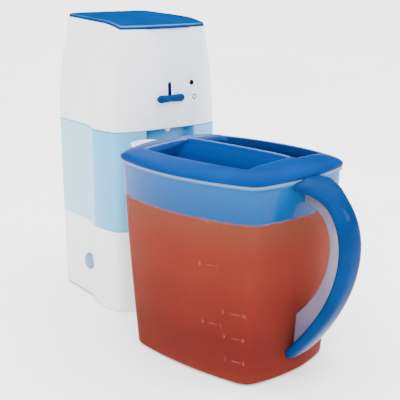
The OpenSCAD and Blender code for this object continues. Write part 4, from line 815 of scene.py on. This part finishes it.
def handle_grip():
    """The blue grip: a wide root, a narrow waist and a broad foot, with a raised spine at the root."""
    n, around = 110, 56
    rings = []
    for k in range(n + 1):
        u = 2 * k / n
        p, out = handle_at(u), handle_out(u)
        end = min(1, min(u, 2 - u) / 0.05)
        taper = 0.86 + 0.14 * math.sqrt(max(0, 1 - (1 - end) ** 2)) if u > 1 else 1
        w, h = grip_half(u) * taper, grip_t(u) * taper
        spine = 1.3 * (1 - smooth(u / 0.42))
        ring = []
        for cy, cq in circle(0, 0, 1, around):
            y = w * np.sign(cy) * abs(cy) ** 0.65
            q = h * np.sign(cq) * abs(cq) ** (0.85 if cq > 0 else 0.6)
            if cq > 0:
                q -= spine * smooth((abs(y) / w - 0.42) / 0.14)
            ring.append((p[0] + out[0] * q, y, p[1] + out[1] * q))
        rings.append(ring)
    obj = Shape(rings).make("handle_shell", "pitcher", BLUE, 50, node="handle_grip")
    body = Shape([pitcher_ring(z, -0.25) for z in (-5, 0, 5, 20, 45, 75, 110, 145, 165, PITCHER_H - 4)]
                 + [pitcher_ring(z, -FLANGE - 0.25) for z in (PITCHER_H - 3.6, PITCHER_H + 2)])
    carve(obj, body, "pitcher", 50)
    past = FLANGE + OVERHANG + 0.35
    lid_edge = bowed(HALF_L + past, HALF_W + past, SIDE_BOW, END_BOW, END_BOW)
    carve(obj, prism(lid_edge, PITCHER_H - 10, PITCHER_H + 20), "pitcher", 50)
    groove = prism(handle_band(60, 0.25, 1), -RIB_T - 0.25, RIB_T + 0.25, (0, 2, 1))
    carve(obj, groove, "pitcher", 50)


def tea():
    rings = [pitcher_ring(z + TEA_INSET, t + TEA_INSET) for z, t in ((0, 3), *FOOT_BEND)]
    rings += [pitcher_ring(z, TEA_INSET) for z in steps(10, TEA_TOP - 0.8, 16)]
    rings += [pitcher_ring(TEA_TOP, TEA_INSET), pitcher_ring(TEA_TOP, P_WALL + 1.6)]
    Shape(rings).make("tea_fill", "pitcher", TEA, 50)


# ---- the pitcher's lid
# the dome by its distance in from the rim's outline: that distance, share of the sides' bow, height
DOME_T, DOME_SHARE, DOME_Z = np.array([
    (LID_EDGE, 1, EDGE_H - 1.4), (-1.4, 1, EDGE_H - 0.3), (-0.6, 0.985, EDGE_H + 0.75),
    (1.5, 0.94, EDGE_H + 2.1), (6, 0.75, EDGE_H + 4.4), (12, 0.6, EDGE_H + 6.0), (20, 0.42, CROWN_H - 2),
    (36, 0.2, CROWN_H - 0.7), (54, 0.1, CROWN_H)]).T
SOFT_T = np.linspace(DOME_T[0], DOME_T[-1], 240)


def soft_dome():
    """The dome's height at each of SOFT_T, with its kinks rounded."""
    reach = 12
    kernel = np.exp(-0.5 * (np.arange(-reach, reach + 1) / 5) ** 2)
    z = np.interp(SOFT_T, DOME_T, DOME_Z)
    before = 2 * z[0] - z[1:reach + 1][::-1]
    return np.convolve(np.concatenate([before, z, np.full(reach, z[-1])]), kernel / kernel.sum(), "valid")


SOFT_Z = soft_dome()


def depth_inside(x, y, t):
    """How far points lie inside the lid's outline that is moved in by t, with soft corners."""
    f = np.interp(t, DOME_T, DOME_SHARE)
    hl, hw = HALF_L - t, HALF_W - t
    s = np.clip((x + hl) / (2 * hl), 0, 1)
    q = np.clip((y + hw) / (2 * hw), 0, 1)
    end = 4 * q * (1 - q)
    walls = np.stack([hw + SIDE_BOW * f * 4 * s * (1 - s) - np.abs(y),
                      hl + END_BOW * end - x, hl + LID_SPOUT * end + x])
    nearest, blend = walls.min(axis=0), 3.0
    return nearest - blend * np.log(np.exp(-(walls - nearest) / blend).sum(axis=0))


def dome_z(x, y):
    """The dome's height over the rim, found from the distance to the lid's edge by halving."""
    lo, hi = np.full(np.shape(x), DOME_T[0]), np.full(np.shape(x), DOME_T[-1])
    for _ in range(26):
        mid = (lo + hi) / 2
        within = depth_inside(x, y, mid) > 0
        lo, hi = np.where(within, mid, lo), np.where(within, hi, mid)
    return np.interp(lo, SOFT_T, SOFT_Z)


def well_outline(ends, side_y, side_bow, crest_y, radii):
    """A well's rim, anticlockwise: its bowed outer side and its straight side at the bar's crest."""
    side = [(lerp(*ends, t), side_y + side_bow * 4 * t * (1 - t)) for t in steps(0, 1, 24)]
    pts = [np.array(p) for p in side + [(ends[1], crest_y), (ends[0], crest_y)]]
    radii = [radii[0]] + [0] * 23 + radii[1:]
    rounded = []
    for i, (p, r) in enumerate(zip(pts, radii)):
        if r == 0:
            rounded.append(tuple(p))
            continue
        to_a, to_b = pts[i - 1] - p, pts[(i + 1) % len(pts)] - p
        a, b = p + to_a / np.linalg.norm(to_a) * r, p + to_b / np.linalg.norm(to_b) * r
        rounded += round_over(a, p, b, steps(0, 1, 7))
    # then a point about every 1.6 mm
    out = []
    for a, b in zip(np.array(rounded), np.roll(rounded, -1, axis=0)):
        n = max(1, round(math.dist(a, b) / 1.6))
        out += [lerp(a, b, k / n) for k in range(n)]
    return np.array(out)


NEAR_WELL = well_outline((-WELL_L, WELL_L), -47, -5, CREST_Y, [3, 3, 3, 3])
FAR_WELL = well_outline((WELL_L + 4, -WELL_L), 57, 9, CREST_Y + 2.4, [3, 3, 2, 2])


def near_floor(x, y):
    """Deep at the near side, rising in a hollow slope to the bar's crest."""
    s = np.clip((y - SCOOP_Y) / (CREST_Y - SCOOP_Y), 0, 1)
    crest = dome_z(x, np.full_like(x, CREST_Y)) - 0.5
    return PITCHER_H + lerp(WELL_FLOOR, crest, s ** 1.7)


def far_floor(x, y):
    return np.full_like(x, PITCHER_H + WELL_FLOOR)


def in_poly(points, poly):
    x, y = points[:, 0], points[:, 1]
    hit = np.zeros(len(points), bool)
    for (x1, y1), (x2, y2) in zip(poly, np.roll(poly, -1, 0)):
        if y1 != y2:
            hit ^= ((y1 > y) != (y2 > y)) & (x < (x2 - x1) * (y - y1) / (y2 - y1) + x1)
    return hit


def distance(points, poly):
    """From each point to the nearest point of the outline."""
    gap = points[:, None, :2] - poly[None, :, :2]
    return np.hypot(gap[..., 0], gap[..., 1]).min(axis=1)


def triangulate(loops, cloud, kind):
    """A constrained triangulation of closed loops and loose points: its points and triangles."""
    edges, first = [], 0
    for loop in loops:
        n = len(loop)
        edges += [(first + i, first + (i + 1) % n) for i in range(n)]
        first += n
    corners = [Vector(p) for p in np.vstack([*loops, cloud])]
    out = delaunay_2d_cdt(corners, edges, [], kind, 1e-5)
    return np.array([(v.x, v.y) for v in out[0]]), out[2]


def sink_well(s, grid, rim, poly, floor_of):
    """A well from its rim's points in the shape: walls with draft, a rounded foot and the floor."""
    rim_z = np.array([s.points[i][2] for i in rim])
    floor = floor_of(poly[:, 0], poly[:, 1])
    wall_top = rim_z - 0.8
    wall_foot = np.minimum(wall_top, floor + 1.5)
    rings = [np.column_stack([inset(poly, d), rim_z - drop]) for drop, d in ((0.25, 0.18), (0.8, 0.32))]
    rings += [np.column_stack([inset(poly, 0.45 + 0.5 * f), lerp(wall_top, wall_foot, f)])
              for f in (0.3, 0.6, 0.85)]
    for d, h in ((1.2, 0.75), (1.9, 0.25), (2.9, 0.0)):
        q = inset(poly, d)
        rings.append(np.column_stack([q, np.minimum(rings[-1][:, 2], floor_of(q[:, 0], q[:, 1]) + h)]))
    previous = rim
    for ring in rings:
        previous = s.strip(ring, previous)
    last = rings[-1][:, :2]
    inner = grid[in_poly(grid, last) & (distance(grid, last) > 1.2)]
    xy, triangles = triangulate([last], inner, 1)
    z = floor_of(xy[:, 0], xy[:, 1])
    numbers = {}
    for k, (x, y) in enumerate(xy):
        on_ring = k < len(last) and math.dist((x, y), last[k]) < 1e-3
        numbers[k] = previous[k] if on_ring else s.add([(x, y, z[k])])
    s.faces.extend(tuple(numbers[i] for i in t) for t in triangles)


def lid_edge_ring(t, z):
    return level(bowed(HALF_L - t, HALF_W - t, SIDE_BOW, END_BOW, LID_SPOUT), PITCHER_H + z)


def lid_top():
    """The domed top round its two wells, the wells, and the edge turned in to the plug ring."""
    step, near, far = 2.2, NEAR_WELL, FAR_WELL
    edge = lid_edge_ring(-1.4, 0)[:, :2]
    gx, gy = np.meshgrid(np.arange(-100, 95, step), np.arange(-76, 77, step))
    gx[1::2] += step / 2
    grid = np.column_stack([gx.ravel(), gy.ravel()])
    loops = [edge, inset(edge, 0.5), inset(edge, 1.3), inset(edge, 2.6), near, far]
    # beside the bar's crest the two rims' outer rings would meet, so they stay within its width
    rim_rings = [inset(well, -d) for well in (near, far) for d in (0.35, 0.9)]
    for ring in rim_rings[:2]:
        ring[:, 1] = np.minimum(ring[:, 1], CREST_Y + 1.0)
    for ring in rim_rings[2:]:
        ring[:, 1] = np.maximum(ring[:, 1], CREST_Y + 1.4)
    keep = in_poly(grid, loops[3]) & (distance(grid, loops[3]) > 1.3)
    keep &= ~in_poly(grid, near) & ~in_poly(grid, far)
    keep &= (distance(grid, rim_rings[1]) > 1.2) & (distance(grid, rim_rings[3]) > 1.2)
    xy, triangles = triangulate(loops, np.vstack([*rim_rings, grid[keep]]), 0)
    z = PITCHER_H + dome_z(xy[:, 0], xy[:, 1])
    # the rims of the wells are a little rounded over
    for well in (near, far):
        z -= 0.45 * np.clip(1 - distance(xy, well) / 0.9, 0, 1) ** 2
    middles = np.array([xy[list(t)].mean(axis=0) for t in triangles])
    solid = in_poly(middles, edge) & ~in_poly(middles, near) & ~in_poly(middles, far)
    top = [t for t, kept in zip(triangles, solid) if kept]
    number = {}
    for i in (i for t in top for i in t):
        number.setdefault(i, len(number))
    used = xy[list(number)]
    s = Shape()
    s.add(np.column_stack([used, z[list(number)]]), [tuple(number[i] for i in t) for t in top])

    def numbers_of(loop):
        return [int(np.argmin(np.hypot(*(used - p).T))) for p in loop]

    previous = numbers_of(edge)
    for t, h in ((-1.62, EDGE_H - 0.85), (LID_EDGE, EDGE_H - 1.5), (LID_EDGE, 0.65), (-1.45, 0.35),
                 (3.0, 0.35), (3.4, 1.2)):
        previous = s.strip(lid_edge_ring(t, h), previous)
    for well, floor_of in ((near, near_floor), (far, far_floor)):
        sink_well(s, grid, numbers_of(well), well, floor_of)
    return s


def pitcher_lid():
    obj = lid_top().make("lid_top_skin", "pitcher_cover", BLUE_LID, 38, node="pitcher_lid", weld=0.002)
    for material in (WELL_SHADE, RIM_HIGHLIGHT):
        obj.data.materials.append(material)
    wells = [place(level(well, 0), "pitcher")[:, :2] for well in (NEAR_WELL, FAR_WELL)]
    middles = np.array([face.center for face in obj.data.polygons])
    # faces inside the wells take the painted shade
    sunk = in_poly(middles, wells[0]) | in_poly(middles, wells[1])
    # faces within 0.95 mm of the wells' rims take the painted highlight
    rim_highlight = (distance(middles, np.vstack(wells)) < 0.95 * MM) & (middles[:, 2] > (PITCHER_H + 1) * MM)
    for face, slot in zip(obj.data.polygons, np.where(rim_highlight, 2, sunk)):
        face.material_index = int(slot)
    modify(obj, "SOLIDIFY", thickness=LID_SKIN * MM, offset=-1.0, use_even_offset=False)
    soften(obj, 38)
    # the plug ring, with the strainer's slots at its spout end
    fit = P_WALL + 0.5
    rings = [level(bowed(HALF_L - fit - t, HALF_W - fit - t, SIDE_BOW, END_BOW, END_BOW), PITCHER_H + h)
             for t, h in ((2.2, 2.6), (2.2, -8.6), (1.9, -9), (0.4, -9), (0, -8.5), (0, 2.6), (2.2, 2.6))]
    plug = Shape(rings, caps=False).make("lid_plug_ring", "pitcher_cover", BLUE_LID, 38)
    for y in (-12, -6, 0, 6, 12):
        slot = block(-HALF_L - 20, y - 1.6, PITCHER_H - 10, -HALF_L + 20, y + 1.6, PITCHER_H - 1)
        carve(plug, slot, "pitcher", 38)


# ---- marks
def near_wall(x, z):
    """A point on the outside of the pitcher's near wall, and the outward normal there."""
    half_l, half_side, side, _ = body_size(z)
    q = (x + half_l) / (2 * half_l)
    slope = side * 4 * (1 - 2 * q) / (2 * half_l)
    return np.array([x, -(half_side + side * 4 * q * (1 - q)), z]), outward(-slope)


def front_wall(x, z):
    """A point on the tower's front, and the outward normal there."""
    share = abs(x) / half_w(z)
    slope = bow(z) * 4 * share ** 3 / half_w(z) * np.sign(x)
    return np.array([x, front_y(z) - bow(z) * (1 - share ** 4), z]), outward(slope)


def outward(slope):
    return np.array([slope, -1.0, 0.0]) / math.hypot(slope, 1)


def raised(on, a, b, height):
    """A point over a surface: on(a, b) gives the surface's point and its normal."""
    point, normal = on(a, b)
    return point + normal * height


def stroke(s, path, width, height, on, closed=False):
    """A raised stroke along a path on a surface."""
    pts = np.array(path, float)
    n = len(pts)
    rings = []
    for i in range(n):
        before, after = (i - 1) % n, (i + 1) % n
        if not closed:
            before, after = max(0, i - 1), min(n - 1, i + 1)
        d = pts[after] - pts[before]
        d /= np.linalg.norm(d) + 1e-9
        side = np.array([-d[1], d[0]]) * width / 2
        rings.append([raised(on, *(pts[i] + side * k), h)
                      for k, h in ((1, -0.05), (0.8, height), (-0.8, height), (-1, -0.05))])
    if closed:
        rings.append(rings[0])
    s.loft(rings, not closed, not closed)


# each digit as one stroke, in a box of 1 by 1
DIGITS = {
    "0": [(0.5, 1), (0.2, 0.85), (0.12, 0.5), (0.2, 0.15), (0.5, 0), (0.8, 0.15), (0.88, 0.5), (0.8, 0.85),
          (0.5, 1)],
    "1": [(0.35, 0.8), (0.55, 1), (0.55, 0)],
    "2": [(0.1, 0.78), (0.25, 0.97), (0.6, 1), (0.8, 0.8), (0.72, 0.55), (0.1, 0), (0.85, 0)],
    "3": [(0.1, 0.9), (0.45, 1), (0.78, 0.82), (0.7, 0.6), (0.4, 0.53), (0.75, 0.42), (0.8, 0.18), (0.45, 0),
          (0.1, 0.1)],
    "5": [(0.8, 1), (0.22, 1), (0.15, 0.56), (0.5, 0.62), (0.8, 0.45), (0.78, 0.15), (0.45, 0), (0.12, 0.1)],
    "6": [(0.72, 0.95), (0.4, 0.95), (0.14, 0.55), (0.16, 0.15), (0.45, 0), (0.78, 0.14), (0.8, 0.4),
          (0.5, 0.56), (0.18, 0.42)],
    "8": [(0.5, 0.53), (0.18, 0.7), (0.22, 0.95), (0.5, 1), (0.78, 0.95), (0.82, 0.7), (0.5, 0.53),
          (0.15, 0.35), (0.15, 0.1), (0.5, 0), (0.85, 0.1), (0.85, 0.35), (0.5, 0.53)],
}


def graduations():
    """Rows of a number, a dash and a number on the near wall, by length and height."""
    s = Shape()
    size = 3.4
    for x, z, left, right in ((27, 142, "10", "2"), (27, 105, "8", "2"), (27, 52, "6", "1"),
                              (48, 65.5, "5", "10"), (48, 43, "3", "8"), (48, 22, "2", "6")):
        for start, word in ((x, left), (x + 18, right)):
            for i, digit in enumerate(word):
                path = [(start + size * (0.78 * i + 0.62 * a), z - 1.7 + size * b) for a, b in DIGITS[digit]]
                stroke(s, path, 0.6, 0.18, near_wall)
            if start == x:
                stroke(s, [(x + 8, z), (x + 12, z), (x + 16, z)], 0.7, 0.18, near_wall)
    s.make("graduation_marks", "pitcher", MARKS, 40)


def strength_marks():
    """The dot and the circle beside the lever's slot."""
    s = Shape([[raised(front_wall, x, z, h) for x, z in circle(26.5, 230.1, r, 32)]
               for r, h in ((2.6, -0.05), (2.6, 0.04), (2.4, 0.09), (0.6, 0.1))])
    stroke(s, circle(29.7, 215.8, 2.2, 36), 1.1, 0.1, front_wall, closed=True)
    s.make("strength_marks", "brew_unit", BLACK, 40)


for build in (base_housing, reservoir, brew_housing, tower_lid, strength_lever, brew_button, button_spring,
              pitcher_body, handle_rib, handle_grip, tea, pitcher_lid, graduations, strength_marks):
    build()

# ---- floor, light and camera, in metres
FLOOR_HALF = 40
mesh = bpy.data.meshes.new("floor")
mesh.from_pydata([(x, y, 0) for x in (-FLOOR_HALF, FLOOR_HALF) for y in (-FLOOR_HALF, FLOOR_HALF)],
                 [], [(0, 2, 3, 1)])
mesh.materials.append(FLOOR)
ground = bpy.data.objects.new("floor", mesh)
scene.collection.objects.link(ground)

world = bpy.data.worlds.new("studio")
scene.world = world
world.use_nodes = True
nt = world.node_tree
background = nt.nodes["Background"]
# a pale band at the horizon carries the floor on, and the light comes from above it
sky = add_ramp(nt, [(at, (grey, grey, blue, 1)) for at, grey, blue in (
    (0.0, 3.9, 4.0), (0.06, 3.9, 4.056), (0.13, 0.5, 0.52), (0.38, 0.12, 0.1248), (0.95, 7.2, 7.2))], "EASE")
where, split = add_node(nt, "TexCoord"), add_node(nt, "SeparateXYZ")
wire(nt, (where, "Generated", split, "Vector"), (split, "Z", sky, "Fac"), (sky, "Color", background, "Color"))


def aim(obj, at, direction):
    obj.location = at
    obj.rotation_euler = Vector(direction).to_track_quat("-Z", "Y").to_euler()
    scene.collection.objects.link(obj)


for name, at, power in (("key", (-1.5, -1.5, 1.3), 40), ("fill", (1.5, -1.1, 0.9), 14)):
    lamp = bpy.data.lights.new(name, "AREA")
    lamp.size = 0.5
    lamp.energy = power
    aim(bpy.data.objects.new(name, lamp), at, Vector((0, 0, 0.12)) - Vector(at))

lens = bpy.data.cameras.new("camera")
lens.lens = 80.97
lens.sensor_width = 36
lens.sensor_fit = "HORIZONTAL"
scene.camera = bpy.data.objects.new("camera", lens)
aim(scene.camera, (-0.47543, -0.67933, 0.34797), (0.5597, 0.7879, -0.2569))
